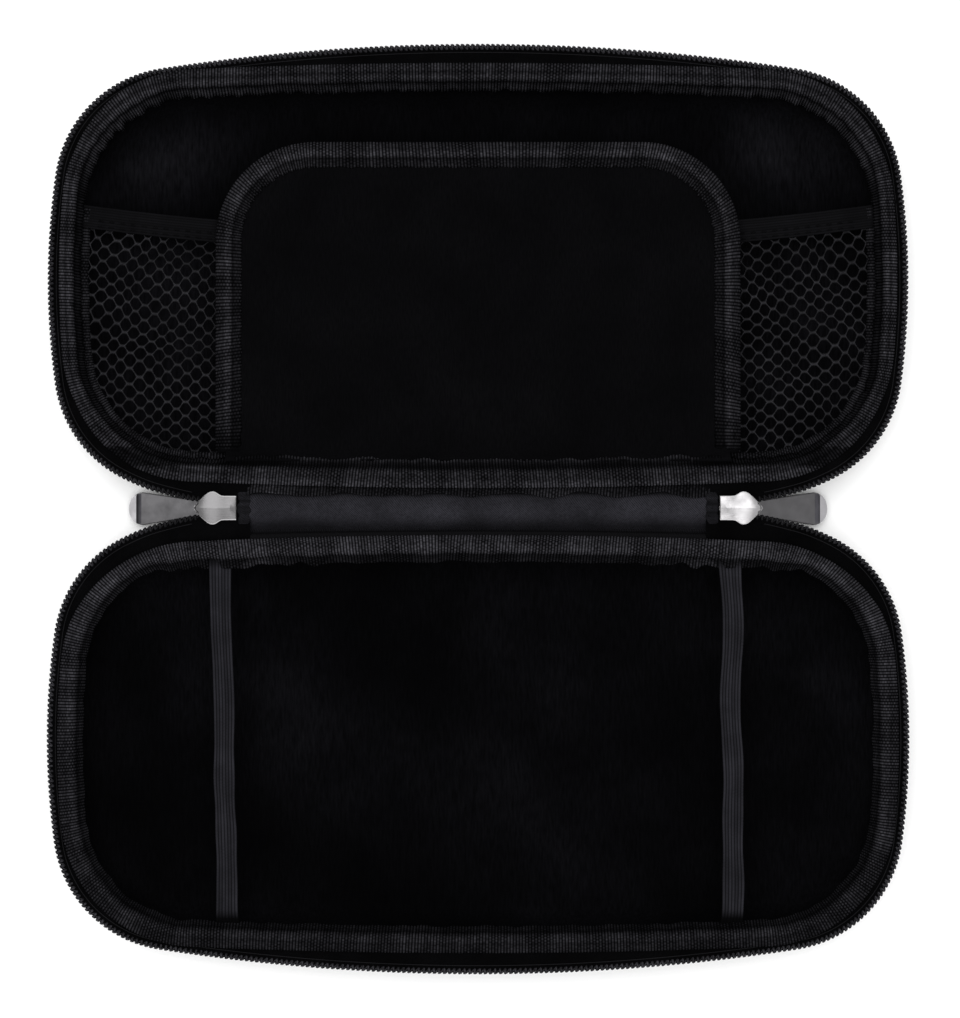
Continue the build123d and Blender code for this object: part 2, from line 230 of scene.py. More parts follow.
nap, given = new_group("nap", {"Dark": grey(0.002), "Light": grey(0.006), "Grain": 1.0, "Relief": 0.5})
place = nap.nodes.new("ShaderNodeTexCoord").outputs["Object"]
combed = add_node(nap, "ShaderNodeMapping", {"Vector": place, "Scale": (1.0, 0.16, 1.0)}).outputs[0]
grain_scale = math_node(nap, "DIVIDE", 1500.0, given["Grain"])
fibre = add_node(nap, "ShaderNodeTexNoise", {"Vector": combed, "Scale": grain_scale, "Detail": 2.0})
brushing_and_sheen = add_node(nap, "ShaderNodeTexNoise", {"Vector": place, "Scale": 45.0, "Detail": 2.0})
nap_tone = math_node(nap, "MULTIPLY", fibre.outputs["Fac"], brushing_and_sheen.outputs["Fac"])
nap_tone = rise(nap, nap_tone, 0.02, 0.5)
end_group(nap, given, nap_tone, fibre.outputs["Fac"], 0.0003)

shell_nylon = coat(
    "shell_nylon",
    weave,
    {"Dark": grey(0.003), "Light": grey(0.007), "Pitch": 0.7, "Relief": 0.35},
    {"Roughness": 0.6, "Specular IOR Level": 0.12},
)
lining_knit = coat(
    "lining_knit",
    nap,
    {"Dark": grey(0.0007), "Light": grey(0.009, 1.2), "Grain": 1.0, "Relief": 0.6},
    {"Roughness": 0.95, "Specular IOR Level": 0.0},
)

rim_line = barrel(rim_width, rim_depth, 42.0, 7.2, 4.3, rim_middle)
rim_length = rim_line[3][-1]


def pressed_half(name, side, node):
    """Dish of one half: underside, outer wall, rim, inner wall, cove and floor in one closed skin."""
    stations = 480
    along = np.arange(stations) * rim_length / stations
    cove = 8.0
    profile = []
    for share in (0.02, 0.3, 0.6, 0.85):
        profile.append((share, -8.4, 0.0))
    for angle in np.linspace(0, math.radians(81), 6):
        profile.append((1, -8.0 + 5.5 * math.sin(angle), 5.5 - 5.5 * math.cos(angle)))
    for level in (8.0, 12.0, 16.0, 19.7):
        profile.append((1, -wall_slope * (rim_height - level), level))
    outer_rows = len(profile)
    profile += [(1, -0.5, 20.05), (1, -2.2, 20.05), (1, -wall, 20.0)]
    for level in (17.5, 15.0, 12.6):
        profile.append((1, -wall - wall_slope * (rim_height - level), level))
    for angle in np.linspace(0, math.radians(81), 8):
        start = math.radians(9) + angle
        profile.append((1, -5.34 - cove + cove * math.cos(start), 4.2 + cove - cove * math.sin(start)))
    for share in np.linspace(0.96, 0.02, 24):
        profile.append((share, -5.4 - cove, 4.2))
    rows, pale = [], []
    for row, (share, out, level) in enumerate(profile):
        x, y = ring(rim_line, along, out)
        x, y = x * share, rim_middle + (y - rim_middle) * share
        z = np.full(stations, level)
        if row > outer_rows + 4:
            soft = min(1.0, (row - outer_rows - 4) / 8) * min(1.0, share * 3)
            z = z + soft * 0.22 * drift(x, y, 34, 5 + side)
            if side > 0:
                crease = np.exp(-(((np.abs(x) - 96) * 0.55 + (y - 112) * 0.83) / 5.0) ** 2)
                crease = crease * np.exp(-(((np.abs(x) - 98) / 22) ** 2))
                z = z + soft * 0.9 * crease
        # Painted highlight: a soft paler patch at each front corner of the lid lining stands in for sheen on
        # the pressed corner.
        brushing_and_sheen = np.exp(-(((np.abs(x) - 99) / 17) ** 2) - ((y - 110 + 0.35 * (np.abs(x) - 99)) / 11) ** 2)
        behind = 0.3 * np.clip((88 - y) / 6, 0, 1)
        pale.append(0.2 + (0.6 * brushing_and_sheen + behind if side > 0 else 0.1 * drift(x, y, 60, 9)))
        rows.append(np.stack([x, side * y, z], axis=1))
    points = np.concatenate(rows)
    faces = grid_faces(len(rows), stations, wrap_columns=True)[0]
    slots = np.where(np.arange(len(faces)) // stations < outer_rows + 1, 0, 1)
    caps = [list(range(stations))[::-1], list(range(len(points) - stations, len(points)))]
    faces = faces.tolist() + caps
    slots = list(slots) + [0, 1]
    if side < 0:
        faces = [face[::-1] for face in faces]
    half = add_piece(name, points, faces, [shell_nylon, lining_knit], slots=slots, pale=np.concatenate(pale))
    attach(half, "lid" if side > 0 else "tray")
    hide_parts(node)


pressed_half("tray_dish", -1, "tray_shell")
pressed_half("lid_dish", 1, "lid_shell")

# Rim bindings: a ribbed ribbon rolled over each rim and sewn through it, over the zip tape. The tray's is
# full and bulges inward where it covers the strap ends; the lid's is narrower, and its inner leg lies
# down the wall with a puckered edge.
rib_pitch, rib_steps, rib_lift = 0.95, 4, 0.17

ribbed, given = new_group(
    "ribbed", {"Dark": grey(0.004), "Light": grey(0.03), "Valley": 0.2, "Even": 0.4, "Relief": 0.3}
)
uv = add_node(ribbed, "ShaderNodeUVMap", {}, uv_map="ribbon").outputs["UV"]
place = add_node(ribbed, "ShaderNodeSeparateXYZ", {"Vector": uv}).outputs
# Painted shade and highlight: crest darkens the valleys between the ribs and lightens their crests, in step
# with the ribs' relief.
within = math_node(ribbed, "PINGPONG", place["X"], 0.5)
crest_top = math_node(ribbed, "ADD", given["Valley"], 0.36)
crest = rise(ribbed, within, given["Valley"], crest_top, 0.08, smooth=True)
which = math_node(ribbed, "FLOOR", place["X"])
crossing = math_node(ribbed, "MULTIPLY_ADD", which, 0.5, place["Y"])
body = ribbed.nodes.new("ShaderNodeTexCoord").outputs["Object"]
patch = add_node(ribbed, "ShaderNodeTexNoise", {"Vector": body, "Scale": 110.0, "Detail": 2.0}).outputs["Fac"]
dent = rise(ribbed, patch, 0.38, 0.62, given["Even"])
bead = rise(ribbed, math_node(ribbed, "PINGPONG", crossing, 0.5), 0.05, 0.4, dent, smooth=True)
chance = add_node(ribbed, "ShaderNodeTexWhiteNoise", {"W": which}, noise_dimensions="1D").outputs["Value"]
shifted = math_node(ribbed, "MULTIPLY_ADD", chance, 6.3, place["Y"])
spot = add_node(ribbed, "ShaderNodeCombineXYZ", {"X": which, "Y": shifted}).outputs[0]
grain = add_node(ribbed, "ShaderNodeTexNoise", {"Vector": spot, "Scale": 1.7, "Detail": 1.0}).outputs["Fac"]
grain = rise(ribbed, grain, 0.3, 0.68, given["Even"])
uneven = rise(ribbed, chance, 0.0, 1.0, 0.68)
wear = rise(ribbed, patch, 0.3, 0.7, 0.62)
ribbed_tone = crest
for share in (uneven, bead, grain, wear):
    ribbed_tone = math_node(ribbed, "MULTIPLY", ribbed_tone, share, clamp=True)
end_group(ribbed, given, ribbed_tone, grain, 0.0001)

binding_ribbon = coat(
    "binding_ribbon",
    ribbed,
    {"Dark": grey(0.0008), "Light": grey(0.07, 1.12), "Valley": 0.08, "Even": 0.3, "Relief": 0.6},
    {"Roughness": 0.8, "Specular IOR Level": 0.0},
)


def ripple(along, length, waves, seed):
    """Random wave of about unit size that repeats after a length, with some number of waves in it."""
    rng = np.random.default_rng(seed)
    total = 0
    for _ in range(5):
        count = max(1, round(waves * rng.uniform(0.5, 1.6)))
        total = total + np.sin(2 * np.pi * (count * along / length + rng.uniform()))
    return total / 2


def ribbed_strip(along, profile, closed, lay):
    """Skin, UVs and paleness of a ribbon from its section of (out, level, rib share, pale), laid by lay."""
    out = np.array([point[0] for point in profile])[:, None]
    level = np.array([point[1] for point in profile])[:, None]
    share = np.array([point[2] for point in profile])[:, None]
    step_out = np.roll(out, -1, axis=0) - np.roll(out, 1, axis=0)
    step_level = np.roll(level, -1, axis=0) - np.roll(level, 1, axis=0)
    size = np.hypot(step_out, step_level)
    comb = np.array([-0.6, 0.25, 0.45, 0.25])[np.arange(len(along)) % rib_steps][None, :]
    lift = rib_lift * comb * share
    x, y, z = lay(along[None, :], out + lift * step_level / size, level - lift * step_out / size)
    points = np.stack([x.ravel(), y.ravel(), z.ravel()], axis=1)
    faces, row, column = grid_faces(len(profile), len(along), wrap_rows=True, wrap_columns=closed)
    steps = np.hypot(np.diff(out[:, 0], append=out[0, 0]), np.diff(level[:, 0], append=level[0, 0]))
    reach = np.concatenate([[0.0], np.cumsum(steps)])
    uv = np.stack([column / rib_steps, reach[row]], axis=-1)
    pale = np.repeat([point[3] for point in profile], len(along))
    return points, faces, uv, pale


def rim_binding(name, side, profile, rear_profile, rear_half, seam, node):
    """Ribbon round one rim, with ribs that slant slowly along it and flip at the butt seam."""
    ribs = round(rim_length / rib_pitch)
    along = np.arange(ribs * rib_steps) * rim_length / (ribs * rib_steps)
    turn = np.linspace(0, 1, len(profile))[:, None]
    change = np.array(rear_profile) - np.array(profile)
    rim_x, rim_y = ring(rim_line, along, 0)
    behind = np.clip((rear_half - np.abs(rim_x)) / 6, 0, 1) * (rim_y < 40)

    def lay(along, out, level):
        out = out + behind * change[:, :1]
        level = level + behind * change[:, 1:2]
        start = np.mod(along - seam, rim_length)
        ramp = np.interp(start, [0, 5, rim_length - 5, rim_length], [0, -1.1, 1.1, 0])
        slant = ramp + 0.6 * ripple(along, rim_length, 4, 31 + side)
        x, y = ring(rim_line, along, 0)
        front = np.clip((y - 112) / 18, 0, 1)
        rear = np.clip((32 - y) / 18, 0, 1)
        outer = np.clip((out + 3.2) / 3.2, 0, 1)
        inner = np.clip((-out - 2.0) / 4, 0, 1)
        leg = np.clip((19.4 - level) / 2.4, 0, 1) * inner
        out = out * (1 + 0.02 * ripple(along, rim_length, 26, 11 + side))
        if side > 0:
            corner = np.clip((np.abs(x) - 70) / 40, 0, 1) * np.clip((y - 105) / 20, 0, 1)
            shorter = np.clip((101 - y) / 8, 0, 1)
            frill = ripple(along, rim_length, 150, 29)
            frayed = 0.3 * ripple(along, rim_length, 50, 37) + 0.12 * ripple(along, rim_length, 300, 38)
            out = out - behind * np.clip((-out - 5.5) / 1.5, 0, 1) * frayed
            leg = leg * (1 - behind)
            out = out + outer * (0.55 * front - 0.7 * (1 - front - rear) + 0.7 * rear)
            out = out - inner * (0.08 + 0.1 * corner) * ripple(along, rim_length, 90, 4)
            ragged = 0.3 * ripple(along, rim_length, 260, 19) + 0.3 * ripple(along, rim_length, 700, 23)
            low = np.clip((18.4 - level) / 6, 0, 1)
            level = level + leg * low * (3.6 * shorter + ragged)
            out = out - leg * (0.2 + 0.15 * corner) * (frill + 0.8)
        else:
            strap = np.exp(-(((np.abs(x) - 79) / 5.0) ** 2)) * rear
            pucker = 0.12 + 0.6 * rear * np.exp(-(((np.abs(x) - 76) / 22.0) ** 2))
            frill = ripple(along, rim_length, 75, 2)
            out = out + outer * (-0.4 * (1 - front - rear) - 1.4 * rear)
            out = out - inner * 0.06 * ripple(along, rim_length, 90, 8)
            out = out - leg * (pucker * frill * (1 - strap) + 0.4 * strap)
            level = level + leg * 0.8 * pucker * ripple(along, rim_length, 90, 6)
            level = level + strap * np.clip((-out - 5.0) / 0.6, 0, 1) * 0.92 * (20.5 - level)
        x, y = ring(rim_line, along + slant * (turn - 0.4), out)
        return x, side * y, level

    points, faces, uv, pale = ribbed_strip(along, profile, True, lay)
    pale = pale + (change[:, 3:] * behind).ravel()
    # Painted shade: the bindings are darker towards the tray's front edge, and a little darker near the lid's
    # hinge and front edge.
    pale = pale * np.interp(points[:, 1], [-135, -20, 0, 20, 75, 130], [0.5, 1.0, 1.0, 0.75, 0.9, 0.75])
    if side < 0:
        faces, uv = faces[:, ::-1], uv[:, ::-1]
        # Painted light: the painted shade on the rear leg of the tray's binding is lifted beside each strap.
        rear_leg = (points[:, 1] > -22) * (points[:, 2] < 18.8)
        by_strap = np.exp(-(((np.abs(points[:, 0]) - 71) / 8) ** 2)) * rear_leg
        pale = pale * (1 + 1.6 * by_strap)
    else:
        # Painted shade: the lid binding's leg is darkened where it runs down the wall below the rim, and at
        # its rear ends beside the flap.
        lid_binding_shade = np.clip((18.9 - points[:, 2]) / 0.6, 0, 1) * np.clip((108 - points[:, 1]) / 8, 0, 1)
        rear_ends = np.clip((np.abs(points[:, 0] - 4) - 60) / 7, 0, 1) * (points[:, 1] < 19)
        lid_binding_shade = np.maximum(lid_binding_shade, rear_ends * np.clip((points[:, 1] - 12.6) / 0.6, 0, 1))
        pale = pale * (1 - 0.75 * lid_binding_shade)
    ribbon = add_piece(name, points, faces.tolist(), [binding_ribbon], uv=uv, pale=pale)
    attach(ribbon, "lid" if side > 0 else "tray")
    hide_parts(node)


# The last number of each section point is its paleness: painted highlight on the crest of the roll and on the
# lid's leg, and painted shade in the dip between the roll's two zones, on its sides and on its underside.
tray_section = [
    (0.1, 20.4, 0.5, 0.4), (0.35, 20.75, 1, 0.6), (0.1, 21.1, 1, 0.65), (-0.8, 21.4, 1, 0.7),
    (-1.9, 21.5, 1, 0.7), (-2.5, 21.45, 1, 0.55), (-3.2, 21.5, 1, 0.95), (-4.2, 21.3, 1, 1),
    (-5.1, 20.7, 1, 0.8), (-5.6, 19.9, 1, 0.5), (-5.75, 19.2, 0.7, 0.25), (-6.1, 18.6, 0.8, 0.25),
    (-6.8, 17.6, 1, 0.4), (-7.4, 16.6, 1, 0.4), (-7.5, 16.2, 0.5, 0.6), (-6.8, 16.2, 0, 0.1),
    (-5.4, 17.8, 0, 0.1), (-4.5, 19.2, 0, 0.1), (-4.2, 20.05, 0, 0.1), (-2.0, 20.1, 0, 0.1),
]
tray_rear_section = [
    (0.1, 20.4, 0.5, 0.4), (0.35, 20.75, 1, 0.6), (0.1, 21.1, 1, 0.75), (-0.9, 21.4, 1, 0.8),
    (-2.1, 21.5, 1, 0.8), (-2.9, 21.45, 1, 0.7), (-3.9, 21.5, 1, 0.9), (-5.1, 21.3, 1, 1),
    (-6.1, 20.7, 1, 1), (-6.7, 19.9, 1, 0.85), (-6.9, 19.2, 0.7, 0.35), (-7.3, 18.6, 0.8, 0.22),
    (-8.1, 17.8, 1, 0.2), (-9.1, 17.1, 1, 0.24), (-9.5, 16.7, 0.5, 0.34), (-8.8, 16.5, 0, 0.1),
    (-7.2, 17.6, 0, 0.1), (-6.1, 18.9, 0, 0.1), (-5.6, 20.0, 0, 0.1), (-2.0, 20.1, 0, 0.1),
]
lid_section = [
    (0.1, 20.4, 0.5, 0.5), (0.4, 20.75, 1, 0.7), (0.15, 21.05, 1, 0.75), (-0.5, 21.25, 1, 0.8),
    (-1.3, 21.35, 1, 0.85), (-2.0, 21.25, 1, 0.4), (-2.5, 21.3, 1, 0.55), (-3.3, 21.45, 1, 1),
    (-4.1, 21.1, 1, 0.8), (-4.7, 20.4, 1, 0.45), (-4.75, 19.4, 0.6, 0.2), (-4.7, 18.4, 0.4, 0.4),
    (-5.1, 16.4, 1, 1.05), (-5.6, 14.2, 1, 1.1), (-6.3, 11.9, 1, 1.15), (-5.8, 11.9, 0, 0.2),
    (-5.0, 16.0, 0, 0.1), (-4.45, 19.2, 0, 0.1), (-4.2, 20.05, 0, 0.1), (-2.0, 20.1, 0, 0.1),
]
lid_rear_section = [
    (0.1, 20.4, 0.5, 0.7), (0.4, 20.75, 1, 1), (0.15, 21.05, 1, 1), (-0.5, 21.25, 1, 0.95),
    (-1.3, 21.35, 1, 0.7), (-2.0, 21.25, 1, 0.55), (-2.5, 21.3, 1, 0.55), (-3.3, 21.45, 1, 0.65),
    (-4.1, 21.1, 1, 0.55), (-4.7, 20.4, 1, 0.35), (-4.95, 20.0, 0.6, 0.15), (-5.4, 20.1, 0.4, 0.12),
    (-6.0, 20.6, 1, 0.2), (-6.8, 21.3, 1, 0.3), (-7.7, 21.65, 1, 0.75), (-7.4, 21.35, 0, 0.2),
    (-6.0, 20.2, 0, 0.1), (-5.0, 19.7, 0, 0.1), (-4.2, 20.05, 0, 0.1), (-2.0, 20.1, 0, 0.1),
]
rim_binding("tray_roll", -1, tray_section, tray_rear_section, 104, -12.8, "tray_binding")
rim_binding("lid_roll", 1, lid_section, lid_rear_section, 82, -26.0, "lid_binding")

# Zip halves: woven tape sewn under each binding, with a nylon coil sewn along the face of its edge by a
# line of thread, so that the turns show as rungs and their heads stand past the edge. Near the hinge
# both halves run into the sliders.
zip_line = barrel(268.0, 146.9, 39.0, 11.6, 14.0, 71.25)
zip_length = zip_line[3][-1]
tape_from, zip_from = 71.0, 85.6
coil_pitch = 1.58
tape_weave = coat(
    "tape_weave",
    weave,
    {"Dark": grey(0.0001), "Light": grey(0.002), "Pitch": 0.5, "Relief": 0.5},
    {"Roughness": 0.85, "Specular IOR Level": 0.01},
)
cord_thread = coat(
    "cord_thread",
    weave,
    {"Dark": grey(0.002), "Light": grey(0.007), "Pitch": 0.6, "Relief": 0.4},
    {"Roughness": 0.7, "Specular IOR Level": 0.05},
)
coil_nylon = coat(
    "coil_nylon",
    weave,
    {"Dark": grey(0.0015), "Light": grey(0.03), "Pitch": 1.2, "Relief": 0.1},
    {"Roughness": 0.5, "Specular IOR Level": 0.05},
)


def zip_run(along, out):
    """Plan points beside the line of the tooth tips, drawn in towards the slider's mouth at both ends."""
    x, y = ring(zip_line, along, out)
    left = np.minimum(along - zip_from, zip_length - zip_from - along)
    near = np.clip(1 - left / 26.0, 0, 1)
    return x, y - 1.9 * near * near * (3 - 2 * near)


def slider_dip(along):
    """How far the zip drops near both ends, where it runs into the sliders."""
    return 0.5 * np.clip((98 - np.minimum(along, zip_length - along)) / 10, 0, 1)


def zip_half(name, side, node):
    """Tape, seam thread and coil of one half."""
    along = np.linspace(tape_from, zip_length - tape_from, 800)
    rim_share = np.linspace(tape_from, rim_length - tape_from, 800)
    rim_x, rim_y = ring(rim_line, rim_share, -2.2)
    tip_x, tip_y = zip_run(along, -0.5)
    wave = 0.16 * ripple(along, zip_length, 60, 41 + side)
    low = slider_dip(along)
    profile = [
        (0.0, 20.3), (0.33, 20.32), (0.66, 20.3), (0.86, 20.25), (0.97, 20.2), (1.0, 20.1), (0.98, 19.95),
        (0.86, 19.95), (0.5, 20.0), (0.0, 20.08),
    ]
    rows = []
    for share, level in profile:
        x = rim_x + (tip_x - rim_x) * share
        y = rim_y + (tip_y - rim_y) * share
        z = level + wave * math.sin(math.pi * min(share, 1.0)) - low * share
        rows.append(np.stack([x, side * y, z], axis=1))
    faces = grid_faces(len(rows), len(along), wrap_rows=True)[0][:, ::-1]
    if side < 0:
        faces = faces[:, ::-1]
    tape = add_piece(f"{name}_tape", np.concatenate(rows), faces.tolist(), [tape_weave])

    cord_run = np.linspace(zip_from + 4, zip_length - zip_from - 4, 700)
    rings = []
    for index in range(5):
        around = 2 * np.pi * index / 5
        x, y = zip_run(cord_run, -2.75 + 0.17 * math.cos(around))
        z = 20.45 + 0.17 * math.sin(around) - 0.8 * slider_dip(cord_run)
        rings.append(np.stack([x, side * y, z], axis=1))
    faces = grid_faces(5, len(cord_run), wrap_rows=True)[0]
    if side < 0:
        faces = faces[:, ::-1]
    cord = add_piece(f"{name}_seam", np.concatenate(rings), faces.tolist(), [cord_thread])

    turns = int((zip_length - 2 * zip_from) / coil_pitch)
    spin = np.linspace(0, turns, turns * 12 + 1)
    back = np.clip(2 * np.mod(spin, 1.0) - 1, 0, 1)
    run = zip_from + (np.floor(spin) + back) * coil_pitch + (0.5 * coil_pitch if side > 0 else 0)
    angle = 2 * np.pi * spin
    wire = 0.38 + 0.14 * np.clip(np.cos(angle), 0, 1)
    rings = []
    for index in range(6):
        around = 2 * np.pi * index / 6
        reach = 0.65 + 0.32 * math.cos(around)
        x, y = zip_run(run + wire * math.sin(around), -0.97 + reach * np.cos(angle))
        z = 20.35 + (0.3 + 0.28 * math.cos(around)) * np.sin(angle) - slider_dip(run)
        rings.append(np.stack([x, side * y, z], axis=1))
    faces = grid_faces(6, len(spin), wrap_rows=True)[0]
    if side < 0:
        faces = faces[:, ::-1]
    # Painted shade: the coil darkens towards the sliders, where it dips between the halves.
    pale = np.interp(np.minimum(run, zip_length - run) - zip_from, [0, 10, 45], [0.1, 0.35, 1.0])
    coil = add_piece(
        f"{name}_coil", np.concatenate(rings), faces.tolist(), [coil_nylon], pale=np.tile(pale, 6)
    )
    for piece in (tape, cord, coil):
        if side > 0:
            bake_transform(piece)
        else:
            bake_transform(piece)
        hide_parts(node)


zip_half("tray", -1, "tray_zip")
zip_half("lid", 1, "lid_zip")

# Elastic straps: knitted elastic with seven lengthwise cords, stretched front to back across the tray, a
# little waisted between their sewn ends, which vanish under the binding.
elastic_knit = coat(
    "elastic_knit",
    ribbed,
    {"Dark": grey(0.0012), "Light": grey(0.02, 1.2), "Valley": -0.04, "Even": 0.88, "Relief": 0.5},
    {"Roughness": 0.75, "Specular IOR Level": 0.02},
)


def elastic_strap(name, side, node):
    """One strap at its place left or right of the tray's middle."""
    run = np.linspace(-133.0, -12.0, 90)
    middle = (run + rim_middle) / 61.0
    cords, steps = 7, 4
    across = np.linspace(-1, 1, cords * steps + 1)
    crest = 19.5 + 0.3 * np.abs(np.sin(np.pi * (across + 1) * cords / 2)) ** 0.7
    crest[[0, -1]] = 19.2
    half = 3.25 + 0.45 * middle**4 + 0.08 * ripple(run, 122, 6, 51 + side)
    sway = side * 79 + 0.35 * ripple(run, 122, 2, 61 + side) + (0.65 - 0.35 * side) * (-73 - run) / 55
    rows = []
    for share, level in list(zip(across, crest)) + [(0.97, 18.75), (-0.97, 18.75)]:
        dive = 5.0 * np.clip((-125.0 - run) / 7.0, 0, 1) ** 1.5
        z = level + 0.12 * ripple(run, 122, 5, 71 + side) - dive
        rows.append(np.stack([sway + share * half, run, z], axis=1))
    faces, row, column = grid_faces(len(rows), len(run), wrap_rows=True)
    uv = np.stack([row / steps, column * 1.37], axis=-1)
    # Painted shade: each strap darkens towards its ends, where it dives under the binding.
    pale = np.tile(np.interp(run, [-127.5, -124.5, -19, -16.5], [0.02, 0.95, 0.95, 0.1]), len(rows))
    strap = add_piece(
        name, np.concatenate(rows), faces[:, ::-1].tolist(), [elastic_knit], uv=uv[:, ::-1], pale=pale
    )
    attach(strap, "tray")
    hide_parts(node)


elastic_strap("left_elastic", -1, "left_strap")
elastic_strap("right_elastic", 1, "right_strap")

# Spine: a strip of fine twill between the halves, slightly crowned, with a valley along the tray where it
# dives to be sewn, and the lid binding's outer leg lying over its other edge as a wavy ribbed flap.
spine_half, strip_columns = 71.2, 200
rear_bow = 3976  # twice the radius that the rims' rear edges bow to
spine_twill = coat(
    "spine_twill",
    weave,
    {"Dark": grey(0.003), "Light": grey(0.028, 1.2), "Pitch": 0.75, "Relief": 0.8},
    {"Roughness": 0.8, "Specular IOR Level": 0.02},
)


def cloth_strip(name, section, material, across_wave, thickness):
    """Strip of cloth along the spine from a section of (y, level, pale) points, with its underside."""
    x = np.linspace(-spine_half, spine_half, strip_columns)
    bow = x**2 / rear_bow
    rows, tones = [], []
    for drop, points in ((0, section), (thickness, section[::-1])):
        for y, level, pale in points:
            wave = across_wave * ripple(x, 141, 7, 81 + int(abs(y)))
            follow = np.clip((-y - 6.5) / 1.0, 0, 1)
            rows.append(np.stack([x, y + 0.6 * wave - follow * bow, level - drop + wave], axis=1))
            tones.append(np.full(strip_columns, pale))
    faces = grid_faces(len(rows), strip_columns, wrap_rows=True)[0]
    return add_piece(name, np.concatenate(rows), faces.tolist(), [material], pale=np.concatenate(tones))


# The last number of each point paints light on the spine: palest on the crown, painted shade down into the
# valley along the tray and under the flap's edge.
spine_cloth = cloth_strip(
    "spine_cloth",
    [
        (-6.9, 17.2, 0.35), (-6.4, 17.5, 0.4), (-5.7, 18.2, 0.45), (-4.9, 19.0, 0.6), (-4.0, 19.7, 0.75),
        (-3.0, 20.2, 0.9), (-1.8, 20.5, 1), (-0.2, 20.6, 1), (1.4, 20.45, 0.9), (3.0, 20.1, 0.8),
        (3.9, 19.8, 0.55), (4.5, 19.5, 0.15), (5.6, 19.1, 0.1), (6.3, 18.9, 0.1),
    ],
    spine_twill,
    0.07,
    0.7,
)
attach(spine_cloth, "spine")
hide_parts("hinge_spine")

# Painted shade: the fold is left nearly black where it lies between the spine and the tray's binding.
tray_fold = cloth_strip(
    "tray_fold",
    [
        (-9.9, 20.3, 0), (-8.6, 20.3, 0), (-7.6, 20.2, 0), (-7.25, 19.8, 0), (-7.15, 19.0, 0),
        (-7.0, 18.0, 0.1), (-6.7, 17.4, 0.2), (-6.2, 17.3, 0.3),
    ],
    spine_twill,
    0.03,
    0.6,
)
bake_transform(tray_fold)
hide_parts("hinge_spine")

flap_half = 72
ribs = round(2 * flap_half / rib_pitch)
flap_x = np.linspace(-flap_half, flap_half, ribs * rib_steps)


def lay_flap(along, out, level):
    """Flap ribbon along the spine's edge at the lid, its free edge wavy."""
    free = np.clip((8.0 - out) / 3.2, 0, 1)
    y = out + (1 - free) * along**2 / rear_bow
    y = y + free * (0.6 * ripple(along, 144, 7, 91) + 0.1 * ripple(along, 144, 30, 92))
    return along + 0.5 * (1 - free), y, level + free * 0.15 * ripple(along, 144, 11, 93)


# The section's last numbers keep the flap dark: painted shade, as it lies low beside the spine.
points, faces, uv, pale = ribbed_strip(
    flap_x,
    [
        (4.1, 20.6, 0.6, 0.4), (4.5, 20.65, 1, 0.26), (5.3, 20.45, 1, 0.24), (6.2, 20.05, 1, 0.24),
        (6.9, 19.75, 1, 0.15), (7.6, 19.8, 0.5, 0.1), (8.8, 20.0, 0, 0.1), (8.8, 19.6, 0, 0.1),
        (6.4, 19.4, 0, 0.1), (5.2, 20.1, 0, 0.1), (4.2, 20.38, 0, 0.1),
    ],
    False,
    lay_flap,
)
# Painted highlight: two soft paler bands along the flap stand for light on folds in it.
pale = pale * (1 + 1.3 * np.exp(-(((np.abs(points[:, 0] + 20) - 44) / 5) ** 2)))
lid_flap = add_piece("lid_flap", points, faces.tolist(), [binding_ribbon], uv=uv, pale=pale)
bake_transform(lid_flap)
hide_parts("hinge_spine")

# Zip ends: a strip of twill folded over the ends of the tapes between the spine and each slider's tail,
# and sewn down along its middle, which leaves a groove there.
zip_level = 19.8
for name, side, node in (("left_tab", -1, "left_zip_end"), ("right_tab", 1, "right_zip_end")):
    run = np.linspace(-5.0, 5.0, 40)
    streak = 0.24 + 0.12 * ripple(run, 10.0, 5, 97 + side)
    section = [
        (70.85, 18.9), (70.75, 19.8), (70.9, 20.6), (71.4, 20.95), (72.0, 20.75), (72.6, 20.45),
        (73.2, 20.75), (73.8, 20.95), (74.5, 20.7), (74.85, 20.0), (74.75, 19.2), (74.3, 18.75),
        (72.6, 18.7), (71.2, 18.75),
    ]
    rows = []
    for x, level in section:
        sway = 0.25 * ripple(run, 10.0, 3, 95 + side + int(x - 70.0))
        ends = 1 - 0.45 * np.abs(run / 5.0) ** 8
        across = side * (72.8 + (x - 72.8) * ends + sway)
        rows.append(np.stack([across, run, zip_level + (level - zip_level) * ends], axis=1))
    faces = grid_faces(len(rows), len(run), wrap_rows=True)[0]
    if side > 0:
        faces = faces[:, ::-1]
    caps = [[row * len(run) + end for row in range(len(rows))] for end in (0, len(run) - 1)]
    caps = [caps[0], caps[1][::-1]] if side > 0 else [caps[0][::-1], caps[1]]
    pale = np.tile(np.clip(streak, 0.05, 1), len(rows))
    tab = add_piece(name, np.concatenate(rows), faces.tolist() + caps, [spine_twill], pale=pale)
    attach(tab, "spine")
    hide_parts(node)

# Zip sliders: die-cast and nickel plated, two leaf plates with a low ridge down the middle, held apart by
# the wedge at the nose, flanges along the tail and a bail under the lower plate.
plating, given = new_group("plating", {"Dark": grey(0.5, 1.0), "Light": grey(0.7, 1.0), "Relief": 0.1})
place = plating.nodes.new("ShaderNodeTexCoord").outputs["Object"]
drawn = add_node(plating, "ShaderNodeMapping", {"Vector": place, "Scale": (0.12, 1.0, 1.0)}).outputs[0]
scratch = add_node(plating, "ShaderNodeTexNoise", {"Vector": drawn, "Scale": 2600.0, "Detail": 2.0})
cloud = add_node(plating, "ShaderNodeTexNoise", {"Vector": place, "Scale": 260.0, "Detail": 2.0})
end_group(plating, given, cloud.outputs["Fac"], scratch.outputs["Fac"], 0.00005)
slider_plating = coat(
    "slider_plating",
    plating,
    {"Dark": grey(0.12, 1.0), "Light": grey(0.8, 1.0), "Relief": 0.25},
    {"Metallic": 1.0, "Roughness": 0.3},
)
